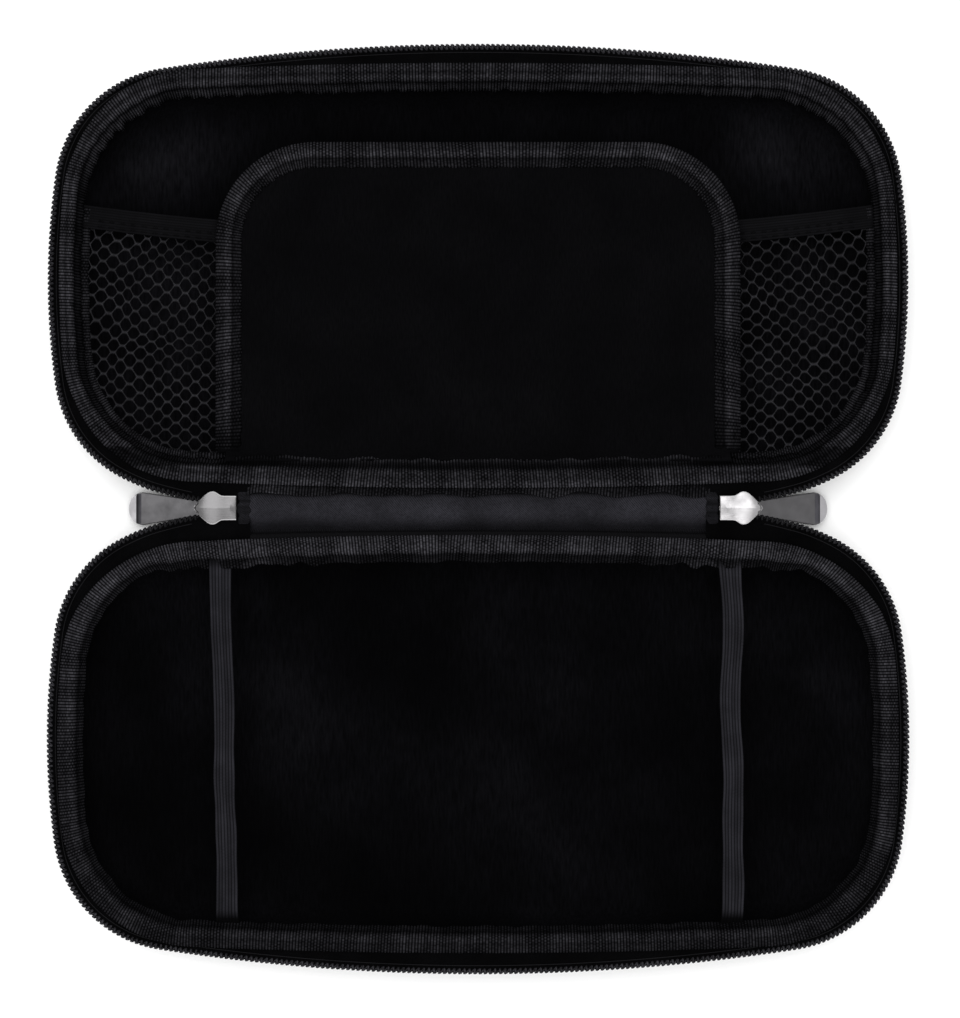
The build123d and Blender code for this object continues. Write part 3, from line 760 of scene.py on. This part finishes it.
# Painted highlight: brighter plating on the upper leaf's bevels stands in for light glinting along its edges.
slider_edge_highlight = coat(
    "slider_edge_highlight",
    plating,
    {"Dark": grey(0.6, 1.0), "Light": grey(0.95, 1.0), "Relief": 0.25},
    {"Metallic": 1.0, "Roughness": 0.3},
)
leaf = [
    (0.0, 0.12), (0.45, 0.7), (0.9, 1.25), (1.7, 2.25), (2.6, 3.1), (3.5, 3.95), (4.4, 4.65),
    (5.3, 5.08), (6.2, 5.2), (7.0, 4.95), (7.9, 4.35), (8.7, 3.92), (9.6, 3.82), (11.5, 3.8),
    (13.1, 3.8), (13.3, 3.65),
]


def loft(sections):
    """Closed skin through equal sections of points, with flat ends."""
    size = len(sections[0])
    points = np.concatenate(sections)
    faces = grid_faces(len(sections), size, wrap_columns=True)[0].tolist()
    last = len(points) - size
    return points, faces + [list(range(size))[::-1], list(range(last, last + size))]


def join(parts):
    """One list of points and faces from several."""
    points, faces, count = [], [], 0
    for part_points, part_faces in parts:
        points.append(part_points)
        faces += [[corner + count for corner in face] for face in part_faces]
        count += len(part_points)
    return np.concatenate(points), faces


def block(low, high):
    """Plain box between two corners."""
    ends = []
    for x in (low[0], high[0]):
        corners = [(low[1], low[2]), (high[1], low[2]), (high[1], high[2]), (low[1], high[2])]
        ends.append(np.array([(x, y, z) for y, z in corners]))
    return loft(ends)


def zip_slider(name, side, node):
    """One slider, its nose pointing away from the spine; the upper leaf's bevels carry a painted highlight.
    """
    tip = 88.5
    length = leaf[-1][0]
    parts = []
    for turn in (1, -1):
        sections = []
        for step, half in leaf:
            end = min(1.0, 0.35 + 0.65 * min(step, length - step) / 0.8)
            lip = min(0.35, half * 0.4)
            section = [
                (-half, 1.0), (-half + 0.2 * lip, 1.25), (-half + lip, 1.45), (-half * 0.5, 1.83), (0, 2.25),
                (half * 0.5, 1.83), (half - lip, 1.45), (half - 0.2 * lip, 1.25), (half, 1.0),
                (half * 0.9, 0.95), (-half * 0.9, 0.95),
            ]
            flat = [(step - tip, y, zip_level + turn * (0.95 + (z - 0.95) * end)) for y, z in section[::turn]]
            sections.append(np.array(flat)[::-1])
        parts.append(loft(sections))
    wedge = []
    for step, half in ((1.3, 0.2), (3.6, 1.3), (5.8, 0.2)):
        square = [(half, 20.8), (-half, 20.8), (-half, 18.8), (half, 18.8)]
        wedge.append(np.array([(step - tip, y, z) for y, z in square]))
    parts.append(loft(wedge))
    for y in (-3.8, 3.0):
        for z in (18.85, 20.2):
            parts.append(block((9.3 - tip, y, z), (13.2 - tip, y + 0.8, z + 0.55)))
    sections = []
    bail = [
        (1.2, 0.2), (0.8, 0.55), (-0.8, 0.55), (-1.2, 0.2),
        (-1.2, -0.2), (-0.8, -0.55), (0.8, -0.55), (1.2, -0.2),
    ]
    for angle in np.linspace(0, math.pi, 13):
        mid = np.array([6.2 - tip - 3.45 * math.cos(angle), 0, 17.7 - 2.45 * math.sin(angle) ** 0.6])
        across = np.array([math.cos(angle), 0, math.sin(angle)])
        sections.append(np.array([mid + across * w + np.array([0, y, 0]) for y, w in bail]))
    parts.append(loft(sections))
    points, faces = join(parts)
    if side > 0:
        points = points * (-1, 1, 1)
        faces = [face[::-1] for face in faces]
    around, bevels = len(section), (2, 3, 8, 9)
    slots = [int(face % around in bevels) for face in range(around * (len(leaf) - 1))]
    slots += [0] * (len(faces) - len(slots))
    # Painted light and shade: the left slider is made much darker than the right one, a shaded and a lit copy
    # of the same plating.
    tone = 0.026 if side < 0 else 0.56
    slider = add_piece(name, points, faces, [slider_plating, slider_edge_highlight], slots=slots, pale=tone)
    slider.data.set_sharp_from_angle(angle=math.radians(14))
    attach(slider, "spine")
    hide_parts(node)


zip_slider("left_runner", -1, "left_slider")
zip_slider("right_runner", 1, "right_slider")

# Zip pulls: tapered tabs stamped from dull grey metal, with a window beside their crossbar and a raised lip
# at the round end. Each hangs from its slider's bail, with its end just above the table.
pull_metal = coat(
    "pull_metal",
    plating,
    {"Dark": grey(0.08, 1.02), "Light": grey(0.18, 1.02), "Relief": 0.2},
    {"Metallic": 1.0, "Roughness": 0.4},
)
# Painted highlight: the raised lip is given paler metal to stand in for light along it.
pull_lip_highlight = coat(
    "pull_lip_highlight",
    plating,
    {"Dark": grey(0.3, 1.02), "Light": grey(0.6, 1.02), "Relief": 0.2},
    {"Metallic": 1.0, "Roughness": 0.3},
)
# Painted shadow: near-black material for a thin plate that stands in for the shade of a groove beside the
# lip.
pull_groove_shadow = coat(
    "pull_groove_shadow",
    plating,
    {"Dark": grey(0.01), "Light": grey(0.12), "Relief": 0.2},
    {"Metallic": 0.0, "Roughness": 0.6, "Specular IOR Level": 0.1},
)


def tab_outline(shrink):
    """Tapered tab outline from the crossbar to the round end, in its own plane."""
    points = [(-0.7 + shrink, -2.9 + shrink), (6.6, -2.9 + shrink)]
    for angle in np.linspace(-math.pi / 2, math.pi / 2, 17):
        points.append((25.0 + (5.0 - shrink) * math.cos(angle), (5.2 - shrink) * math.sin(angle)))
    return points + [(6.6, 2.9 - shrink), (-0.7 + shrink, 2.9 - shrink)]


def zip_pull(name, side, node):
    """One pull with its window, crossbar and lip."""
    pivot_x, pivot_level, droop = 84.15, 16.7, math.radians(29.3)
    curve = bpy.data.curves.new(name, "CURVE")
    curve.dimensions = "2D"
    curve.fill_mode = "BOTH"
    curve.extrude = 0.0003
    curve.bevel_depth = 0.00045
    curve.bevel_resolution = 2
    hole = [(0.3, -1.75), (3.6, -1.75), (3.6, 1.75), (0.3, 1.75)]
    for loop in (tab_outline(0.45), hole):
        spline = curve.splines.new("POLY")
        spline.points.add(len(loop) - 1)
        for point, (u, w) in zip(spline.points, loop):
            point.co = (u * 0.001, w * 0.001, 0, 1)
        spline.use_cyclic_u = True
    holder = bpy.data.objects.new(name, curve)
    bpy.context.scene.collection.objects.link(holder)
    flat = bpy.data.meshes.new_from_object(holder.evaluated_get(bpy.context.evaluated_depsgraph_get()))
    points = np.array([vertex.co for vertex in flat.vertices]) * 1000
    faces = [list(polygon.vertices) for polygon in flat.polygons]
    bpy.data.objects.remove(holder)
    lip = []
    for shrink, level in ((0.3, -1.0), (0.12, -0.8), (0.0, 0.0), (0.12, 0.95), (0.45, 1.15)):
        loop = [point for point in tab_outline(shrink) if point[0] >= 27.0]
        first, last = loop[0][1], loop[-1][1]
        loop = [(26.9, first * 1.02)] + loop + [(26.9, last * 1.02)]
        lip.append(np.array([(u, w, level) for u, w in loop]))
    around = np.linspace(0, 2 * math.pi, 17)[:-1]
    bar = []
    for w in (-2.9, 2.9):
        bar.append(np.stack([0.75 * np.cos(around), np.full(len(around), w), -0.75 * np.sin(around)], axis=1))
    # Painted shadow: a thin dark plate laid just proud of the tab beside the lip; there is no recess in the
    # tab.
    groove_shadow = block((25.2, -4.7, 0.5), (26.9, 4.7, 0.78))
    slots = [0] * len(faces)
    points, faces = join([(points, faces), loft(bar), loft(lip), groove_shadow])
    bar_faces, groove_shadow_faces = len(around) + 2, 6
    slots += [0] * bar_faces
    slots += [1] * (len(faces) - len(slots) - groove_shadow_faces) + [2] * groove_shadow_faces
    u, w, n = points.T
    # Painted light on the pulls: a highlight across the tab, the left pull paler than the right, a gradient
    # across the left pull, a highlight along one edge, and the tone of the shadow plate.
    pale = np.interp(u, [6, 12, 26], [0.94, 1.14, 0.94]) - 0.4 * side
    pale += 0.08 * (1 - side) * np.clip(-w, 0, 4)
    pale += 0.7 * (w > 0) * np.clip((np.abs(w) - 2.7 - 0.1 * u) / 0.2, 0, 1)
    pale[-8:] = np.where(u[-8:] > 26, 0.4 + 0.4 * side, 0.95 + 0.05 * side)
    x = -pivot_x - u * math.cos(droop) - n * math.sin(droop)
    z = pivot_level - u * math.sin(droop) + n * math.cos(droop)
    points = np.stack([-side * x, w, z], axis=1)
    if side < 0:
        points[:, 1] *= -1
    pull = add_piece(name, points, faces, [pull_metal, pull_lip_highlight, pull_groove_shadow], slots=slots, pale=pale)
    pull.data.polygons.foreach_set("use_smooth", np.zeros(len(faces), bool))
    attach(pull, node)
    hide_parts(node)


zip_pull("left_puller", -1, "left_pull")
zip_pull("right_puller", 1, "right_pull")

# Net pocket: warp-knitted hexagon mesh stretched across the lid, bound round its edge by a narrow ribbed
# ribbon and closed along its mouth by a flat elastic band with two rows of stitches.
pocket_level = 13.0
mouth_half, mouth_sag = 124.99, 8.5
mouth_radius = (mouth_half**2 + mouth_sag**2) / (2 * mouth_sag)
mouth_y = 87.0 + mouth_radius
net_yarn = coat(
    "net_yarn",
    weave,
    {"Dark": grey(0.0015), "Light": grey(0.036), "Pitch": 0.35, "Relief": 0.5},
    {"Roughness": 0.7, "Specular IOR Level": 0.05},
)
cell_x, cell_y = 2.9, 4.25
peak = (cell_x**2 - (cell_y / 2) ** 2) / (2 * cell_x)
corners = np.array([
    (cell_x - peak, 0), (peak, cell_y / 2), (-peak, cell_y / 2),
    (peak - cell_x, 0), (-peak, -cell_y / 2), (peak, -cell_y / 2),
])
border = np.empty((12, 2))
border[0::2] = corners
border[1::2] = (corners + np.roll(corners, -1, axis=0)) / 2
hole = np.array([
    (1.78, 0), (1.38, 0.8), (0.72, 1.48), (0, 1.55), (-0.72, 1.48), (-1.38, 0.8),
    (-1.78, 0), (-1.38, -0.8), (-0.72, -1.48), (0, -1.55), (0.72, -1.48), (1.38, -0.8),
])
column, row = np.meshgrid(np.arange(-48, 49), np.arange(-14, 15), indexing="ij")
centres = np.stack([column * cell_x, 46.0 + row * cell_y + (column % 2) * cell_y / 2], axis=-1).reshape(-1, 2)


def rim_depth_at(x, y):
    """Distance of plan points inside the rim outline."""
    along = np.linspace(0, rim_length, 1600)
    rim_x, rim_y = ring(rim_line, along, 0)
    far_x, far_y = ring(rim_line, along, 1)
    nearest = np.array([np.argmin((rim_x - px) ** 2 + (rim_y - py) ** 2) for px, py in zip(x, y)])
    off_x, off_y = rim_x[nearest] - x, rim_y[nearest] - y
    return off_x * (far_x - rim_x)[nearest] + off_y * (far_y - rim_y)[nearest]


def skew(x, y):
    """Net points drawn into rows that follow the sagging mouth."""
    tilt = 0.0014 * x * np.clip((y + 20) / 100, 0.3, 1)
    return x - tilt * (y - 60), y + 0.5 * tilt * x - 3.0


skew_x, skew_y = skew(centres[:, 0], centres[:, 1])
inside = rim_depth_at(skew_x, skew_y) > 6.8
behind = np.hypot(skew_x, skew_y - mouth_y) > mouth_radius + 2.6
within_lid = (np.abs(skew_x) < 126) & (skew_y > 8)
centres = centres[inside & behind & within_lid]
layers, tones = [], []
for share, level in ((0.0, 0.28), (0.5, 0.2), (1.0, 0.0), (0.5, -0.2), (0.0, -0.28)):
    loop = border + (hole - border) * share
    flat = centres[:, None, :] + loop[None, :, :]
    layers.append(np.concatenate([flat, np.full(flat.shape[:2] + (1,), level)], axis=2))
    # Painted highlight: each thread is paler along its core and at the knots and darker towards the hole
    # edges, for light on round yarn.
    knot = np.where(np.arange(12) % 2 == 0, 1.0, 0.65) * max(0.05, 1 - 1.2 * share)
    tones.append(np.tile(knot, (len(centres), 1)))
cells = np.stack(layers, axis=1)
cell_points = cells.reshape(-1, 3)
base = (np.arange(len(centres)) * 60)[:, None, None, None]
band = (np.arange(4) * 12)[None, :, None, None]
spot = np.arange(12)[None, None, :, None]
quad = np.concatenate([spot, (spot + 1) % 12, 12 + (spot + 1) % 12, 12 + spot], axis=3)
quads = (base + band + quad).reshape(-1, 4)
keys, first, remap = np.unique(np.round(cell_points, 2), axis=0, return_index=True, return_inverse=True)
net_points = cell_points[first]
net_pale = np.stack(tones, axis=1).ravel()[first]
quads = remap.ravel()[quads]
sides = np.sort(np.concatenate([quads[:, [i, (i + 1) % 4]] for i in range(4)]), axis=1)
ways = np.concatenate([quads[:, [i, (i + 1) % 4]] for i in range(4)])
_, where, times = np.unique(sides, axis=0, return_inverse=True, return_counts=True)
open_ways = ways[times[where.ravel()] == 1]
spots = {tuple(key): number for number, key in enumerate(np.round(keys, 2).tolist())}
rims = []
for start, end in open_ways[keys[open_ways[:, 0], 2] > 0].tolist():
    under = [spots[(keys[end][0], keys[end][1], -0.28)], spots[(keys[start][0], keys[start][1], -0.28)]]
    rims.append([end, start, under[1], under[0]])
quads = np.concatenate([quads, rims])
net_points[:, 0], net_points[:, 1] = skew(net_points[:, 0], net_points[:, 1])
x, y = net_points[:, 0].copy(), net_points[:, 1].copy()
net_points[:, 0] += 0.45 * drift(x, y, 18, 101)
net_points[:, 1] += 0.45 * drift(x, y, 18, 102)
sag = np.clip(1 - (x / 118) ** 2, 0, 1) * np.clip(1 - ((y - 50) / 38) ** 2, 0, 1)
under = np.clip((mouth_radius + 8.5 - np.hypot(x, y - mouth_y)) / 1.5, 0, 1)
net_points[:, 2] += pocket_level - 0.5 - 0.8 * sag + 0.2 * drift(x, y, 30, 103) - 0.6 * under
pocket_mesh = add_piece("pocket_mesh", net_points, quads.tolist(), [net_yarn], pale=net_pale)
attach(pocket_mesh, "lid")
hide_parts("pocket_net")

side_along = np.linspace(0, rim_length / 2, 4000)
side_x, side_y = ring(rim_line, side_along, -7.4)
meets = np.hypot(side_x, side_y - mouth_y) - mouth_radius
edge_reach = side_along[np.argmax(meets < 1.0)]
ribs = round(2 * edge_reach / rib_pitch)
edge_along = np.linspace(-edge_reach, edge_reach, ribs * rib_steps)


def lay_edge(along, out, level):
    """Pocket ribbon round the lid's inner wall."""
    wave = 0.16 * ripple(along + 400, 800, 60, 111)
    x, y = ring(rim_line, along, out + wave)
    return x, y, level + 0.15 * ripple(along + 400, 800, 40, 112)


points, faces, uv, pale = ribbed_strip(
    edge_along,
    [
        (-5.4, 12.2, 0.3, 0.2), (-5.5, 13.0, 1, 0.35), (-6.0, 13.45, 1, 0.6), (-6.9, 13.55, 1, 0.85),
        (-7.8, 13.4, 1, 0.8), (-8.5, 12.9, 1, 0.5), (-8.6, 12.1, 0.3, 0.2), (-7.8, 11.4, 0, 0.1),
        (-6.2, 11.4, 0, 0.1),
    ],
    False,
    lay_edge,
)
# Painted shade: the pocket ribbon is paler on its crest and dark at its sides, and all of it is halved in
# paleness where it lies in shade below the rim.
pocket_ribbon = add_piece("pocket_ribbon", points, faces.tolist(), [binding_ribbon], uv=uv, pale=0.5 * pale)
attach(pocket_ribbon, "lid")
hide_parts("pocket_edge")

band_width, band_run = 7.2, 247
span = math.asin(123.6 / mouth_radius)
sweep = np.linspace(-span, span, 330)
cords = 9
across = np.linspace(0, 1, cords * 4 + 1)
crest = 0.14 * np.abs(np.sin(np.pi * across * cords))


def gather(angle, share):
    """Gathers of the mouth band, stronger towards its lower edge."""
    return 0.3 * ripple(angle / (2 * span) * band_run, band_run, 22, 121) * (0.4 + 0.6 * share)


rows = []
for share, level in list(zip(across, 13.2 + crest)) + [(0.98, 11.9), (0.02, 11.9)]:
    reach = mouth_radius + band_width * share
    z = level + gather(sweep, share)
    rows.append(np.stack([reach * np.sin(sweep), mouth_y - reach * np.cos(sweep), z], axis=1))
faces, row, column = grid_faces(len(rows), len(sweep), wrap_rows=True)
uv = np.stack([row / 4, column * 0.75], axis=-1)
mouth_band = add_piece(
    "mouth_band", np.concatenate(rows), faces[:, ::-1].tolist(), [elastic_knit], uv=uv[:, ::-1], pale=0.13
)
stitch_thread = coat(
    "stitch_thread",
    weave,
    {"Dark": grey(0.0005), "Light": grey(0.004), "Pitch": 0.4, "Relief": 0.4},
    {"Roughness": 0.8, "Specular IOR Level": 0.02},
)
stitches = []
for share in (0.62, 0.86):
    reach = mouth_radius + band_width * share
    for middle in np.arange(-118, 118.1, 3.4) / mouth_radius:
        angles = middle + np.linspace(-1.15, 1.15, 5) / reach
        sink = np.array([-0.25, 0.02, 0.08, 0.02, -0.25])
        sections = []
        for angle, level in zip(angles, 13.3 + gather(angles, share) + sink):
            turn = np.linspace(0, 2 * np.pi, 7)[:-1]
            out = reach + 0.24 * np.cos(turn)
            ends = [out * np.sin(angle), mouth_y - out * np.cos(angle), level + 0.18 * np.sin(turn)]
            sections.append(np.stack(ends, axis=1))
        stitches.append(loft(sections))
points, faces = join(stitches)
band_stitches = add_piece("band_stitches", points, faces, [stitch_thread])
for piece in (mouth_band, band_stitches):
    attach(piece, "lid")
    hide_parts("pocket_band")

# Divider page: a thin padded board in smooth black cloth, bound on three edges by the ribbed ribbon and
# hung from a cloth strip along the lid's rear edge.
page_half, page_back, page_front, page_corner = 82.0, 17.3, 114.5, 31.0
page_level, page_rib_pitch = 17.5, 1.04
page_rows, page_columns = 51, 81
page_cloth = coat(
    "page_cloth",
    nap,
    {"Dark": grey(0.0012), "Light": grey(0.0024), "Grain": 0.6, "Relief": 0.3},
    {"Roughness": 0.85, "Specular IOR Level": 0.0},
)


def page_path(along, inset):
    """Plan points along the page's free edges from its rear right corner round to the rear left one."""
    corner = page_corner
    side = page_front - page_back - corner
    lengths = np.cumsum([side, corner * math.pi / 2, 2 * (page_half - corner), corner * math.pi / 2, side])
    shape = np.broadcast(along, inset).shape
    along = np.broadcast_to(along, shape)
    inset = np.broadcast_to(inset, shape)
    leg = np.searchsorted(lengths, along, side="right").clip(max=4)
    spot = along - np.concatenate([[0.0], lengths[:-1]])[leg]
    turn = spot / corner
    arc = corner - inset
    high = page_front - corner
    wide = page_half - corner
    x = np.select(
        [leg == 0, leg == 1, leg == 2, leg == 3],
        [page_half - inset, wide + arc * np.cos(turn), wide - spot, -wide - arc * np.sin(turn)],
        -page_half + inset,
    )
    y = np.select(
        [leg == 0, leg == 1, leg == 2, leg == 3],
        [page_back + spot, high + arc * np.sin(turn), page_front - inset, high + arc * np.cos(turn)],
        high - spot,
    )
    return x, y, lengths[-1]


page_run = page_path(np.zeros(1), np.zeros(1))[2]
over = np.linspace(-1, 1, page_columns)
deep = np.linspace(page_back, page_front - 1.0, page_rows)
cut = np.clip(deep - (page_front - page_corner), 0, page_corner - 1)
half = page_half - page_corner + np.sqrt((page_corner - 1) ** 2 - cut**2)
x, y = over[None, :] * half[:, None], np.repeat(deep[:, None], page_columns, axis=1)
edge = np.clip(np.minimum((1 - np.abs(over[None, :])) * half[:, None], page_front - 1 - y) / 9.0 - 0.7, 0, 1)
puff = edge * (2 - edge) * (0.12 + 0.1 * drift(x, y, 36, 131))
sheets = [np.stack([x, y, page_level + face * (1.5 + puff)], axis=-1).reshape(-1, 3) for face in (1, -1)]
points = np.concatenate(sheets)
top = grid_faces(page_rows, page_columns)[0]
number = np.arange(page_rows * page_columns).reshape(page_rows, page_columns)
rim = np.concatenate([number[:0:-1, 0], number[0, :-1], number[:-1, -1], number[-1, :0:-1]]).tolist()
walls = [[rim[i], rim[i - 1], rim[i - 1] + number.size, rim[i] + number.size] for i in range(len(rim))]
faces = top.tolist() + (top[:, ::-1] + number.size).tolist() + walls
page_pad = add_piece("page_pad", points, faces, [page_cloth])
bound = page_pad.vertex_groups.new(name="bound")
bound.add(np.flatnonzero(np.tile(edge.ravel(), 2) <= 0).tolist() + number[0].tolist(), 1.0, "REPLACE")
swell = page_pad.modifiers.new("swell", "CLOTH")
swell.settings.quality = 6
swell.settings.use_pressure = True
swell.settings.uniform_pressure_force = 4.0
swell.settings.vertex_group_mass = "bound"
swell.settings.effector_weights.gravity = 0.0
for step in range(1, 21):
    bpy.context.scene.frame_set(step)
swollen = page_pad.evaluated_get(bpy.context.evaluated_depsgraph_get()).data
moved = np.array([vertex.co for vertex in swollen.vertices]) * 1000 - points
page_pad.modifiers.remove(swell)
bpy.context.scene.frame_set(1)
points = points + 0.55 * np.tanh(moved / 0.55)
page_pad.data.vertices.foreach_set("co", (points * 0.001).astype(np.float32).ravel())
page_pad.data.update()
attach(page_pad, "page")
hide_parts("page_panel")

ribs = round(page_run / page_rib_pitch)
page_along = np.linspace(0, page_run, ribs * rib_steps)
# The last number of each section point paints light across the ribbon: painted highlight on its rolled top,
# painted shade in its dips and on its underside.
page_profile = [
    (8.3, 1.7, 0.6, 0.85), (7.4, 2.05, 1, 0.4), (6.3, 2.05, 0.8, 0.4), (5.4, 1.85, 0.5, 0.2),
    (4.8, 2.15, 1, 0.95), (3.7, 2.4, 1, 1.2), (2.6, 2.3, 1, 0.6), (1.4, 1.95, 1, 0.65),
    (0.4, 1.1, 1, 0.7), (0.1, 0.0, 1, 0.5), (0.4, -1.1, 1, 0.5), (1.4, -1.95, 1, 0.6),
    (3.2, -2.15, 1, 0.9), (5.2, -1.9, 0.6, 0.4), (7.2, -1.95, 1, 0.5), (8.2, -1.6, 0, 0.3),
    (4.0, -1.2, 0, 0.1), (4.0, 1.2, 0, 0.1),
]


def lay_page(along, inset, level):
    """Ribbon round the page, rippled at the corners."""
    middle = np.abs(along - page_run / 2)
    corner = np.exp(-(((middle - 75) / 22) ** 2))
    inner = np.clip((inset - 4.5) / 3, 0, 1)
    pleat = np.abs(np.sin(np.pi * along / 2.7 + 0.8 * ripple(along, page_run, 20, 141)))
    inset = inset + inner * (0.12 * ripple(along, page_run, 60, 142) + corner * (0.7 * pleat - 0.35))
    level = level + np.sign(level) * inner * corner * 0.35 * pleat
    end = page_run / 2 - middle
    slant = 0.8 * ripple(along, page_run, 3, 143) * np.clip(end / 9, 0, 1)
    x, y, _ = page_path(np.clip(along + slant * (inset - 3) / 5, 0, page_run), inset)
    level = level * (1 + 0.03 * ripple(along, page_run, 30, 144)) * np.clip(end / 2.5, 0.1, 1) ** 0.5
    return x, y, page_level + level


points, faces, uv, pale = ribbed_strip(page_along, page_profile, False, lay_page)
# Painted shade: the page ribbon darkens towards its rear ends by the hinge, sooner on its inner side, and is
# palest along the front edge.
from_end = points[:, 1] - 0.5 * (page_half - np.abs(points[:, 0]))
pale = pale * np.interp(from_end, [15, 20, 28, 90, 108], [0.08, 0.3, 0.65, 0.65, 1.25])
page_ribbon = add_piece(
    "page_ribbon", points, faces[:, ::-1].tolist(), [binding_ribbon], uv=uv[:, ::-1], pale=pale
)
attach(page_ribbon, "page")
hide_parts("page_edge")

x = np.linspace(-78.5, 78.5, 160)
rows = []
section = [
    (14.3, 20.2), (14.6, 21.0), (15.1, 21.3), (15.9, 20.9),
    (17.1, 20.1), (18.5, 19.6), (20.9, 19.3), (24.5, 19.05),
]
for lift in (0.0, -0.5):
    for y, level in section if lift == 0 else section[::-1]:
        wave = 0.12 * ripple(x, 161, 6, 151) * np.clip((21 - y) / 4, 0, 1)
        tuck = 0.9 * np.clip((np.abs(x) - 72.5) / 1.5, 0, 1) * np.clip((y - 16.0) / 1.5, 0, 1)
        rows.append(np.stack([x, np.full(len(x), y), level + lift + wave - tuck], axis=1))
faces = grid_faces(len(rows), len(x), wrap_rows=True)[0]
page_strip = add_piece("page_strip", np.concatenate(rows), faces.tolist(), [page_cloth])
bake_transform(page_strip)
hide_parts("page_hinge")

# Studio: a plain white table in an even white room, with one large soft lamp above it, and the camera
# looking almost straight down.
table_half, table_level = 2000, -0.3
floor_paint = bpy.data.materials.new("floor_paint")
floor_paint.use_nodes = True
floor_paint.node_tree.nodes["Principled BSDF"].inputs["Base Color"].default_value = (0.92, 0.92, 0.92, 1.0)
floor_paint.node_tree.nodes["Principled BSDF"].inputs["Roughness"].default_value = 0.9
floor = add_piece(
    "floor",
    [(x * table_half, y * table_half, table_level) for x, y in ((-1, -1), (1, -1), (1, 1), (-1, 1))],
    [[0, 1, 2, 3]],
    [floor_paint],
)
world = bpy.data.worlds.new("room")
bpy.context.scene.world = world
world.use_nodes = True
world.node_tree.nodes["Background"].inputs["Color"].default_value = (1.0, 1.0, 1.0, 1.0)
world.node_tree.nodes["Background"].inputs["Strength"].default_value = 1.0
lamp_data = bpy.data.lights.new("lamp", "AREA")
lamp_data.energy = 19.0
lamp_data.size = 1.4
lamp = bpy.data.objects.new("lamp", lamp_data)
lamp.location = (-0.1, 0.12, 1.5)
lamp.rotation_euler = (-0.08, -0.07, 0.0)
bpy.context.scene.collection.objects.link(lamp)
camera_data = bpy.data.cameras.new("camera")
camera_data.lens = 102.0
camera_data.sensor_width = 36.0
camera = bpy.data.objects.new("camera", camera_data)
elevation, distance = math.radians(89.2), 0.897
camera.location = (0.0006, -0.0003 - distance * math.cos(elevation), 0.02 + distance * math.sin(elevation))
camera.rotation_euler = (math.pi / 2 - elevation, 0.0, 0.0)
bpy.context.scene.collection.objects.link(camera)
bpy.context.scene.camera = camera
bpy.context.scene.view_settings.view_transform = "Standard"

bpy.context.view_layer.update()
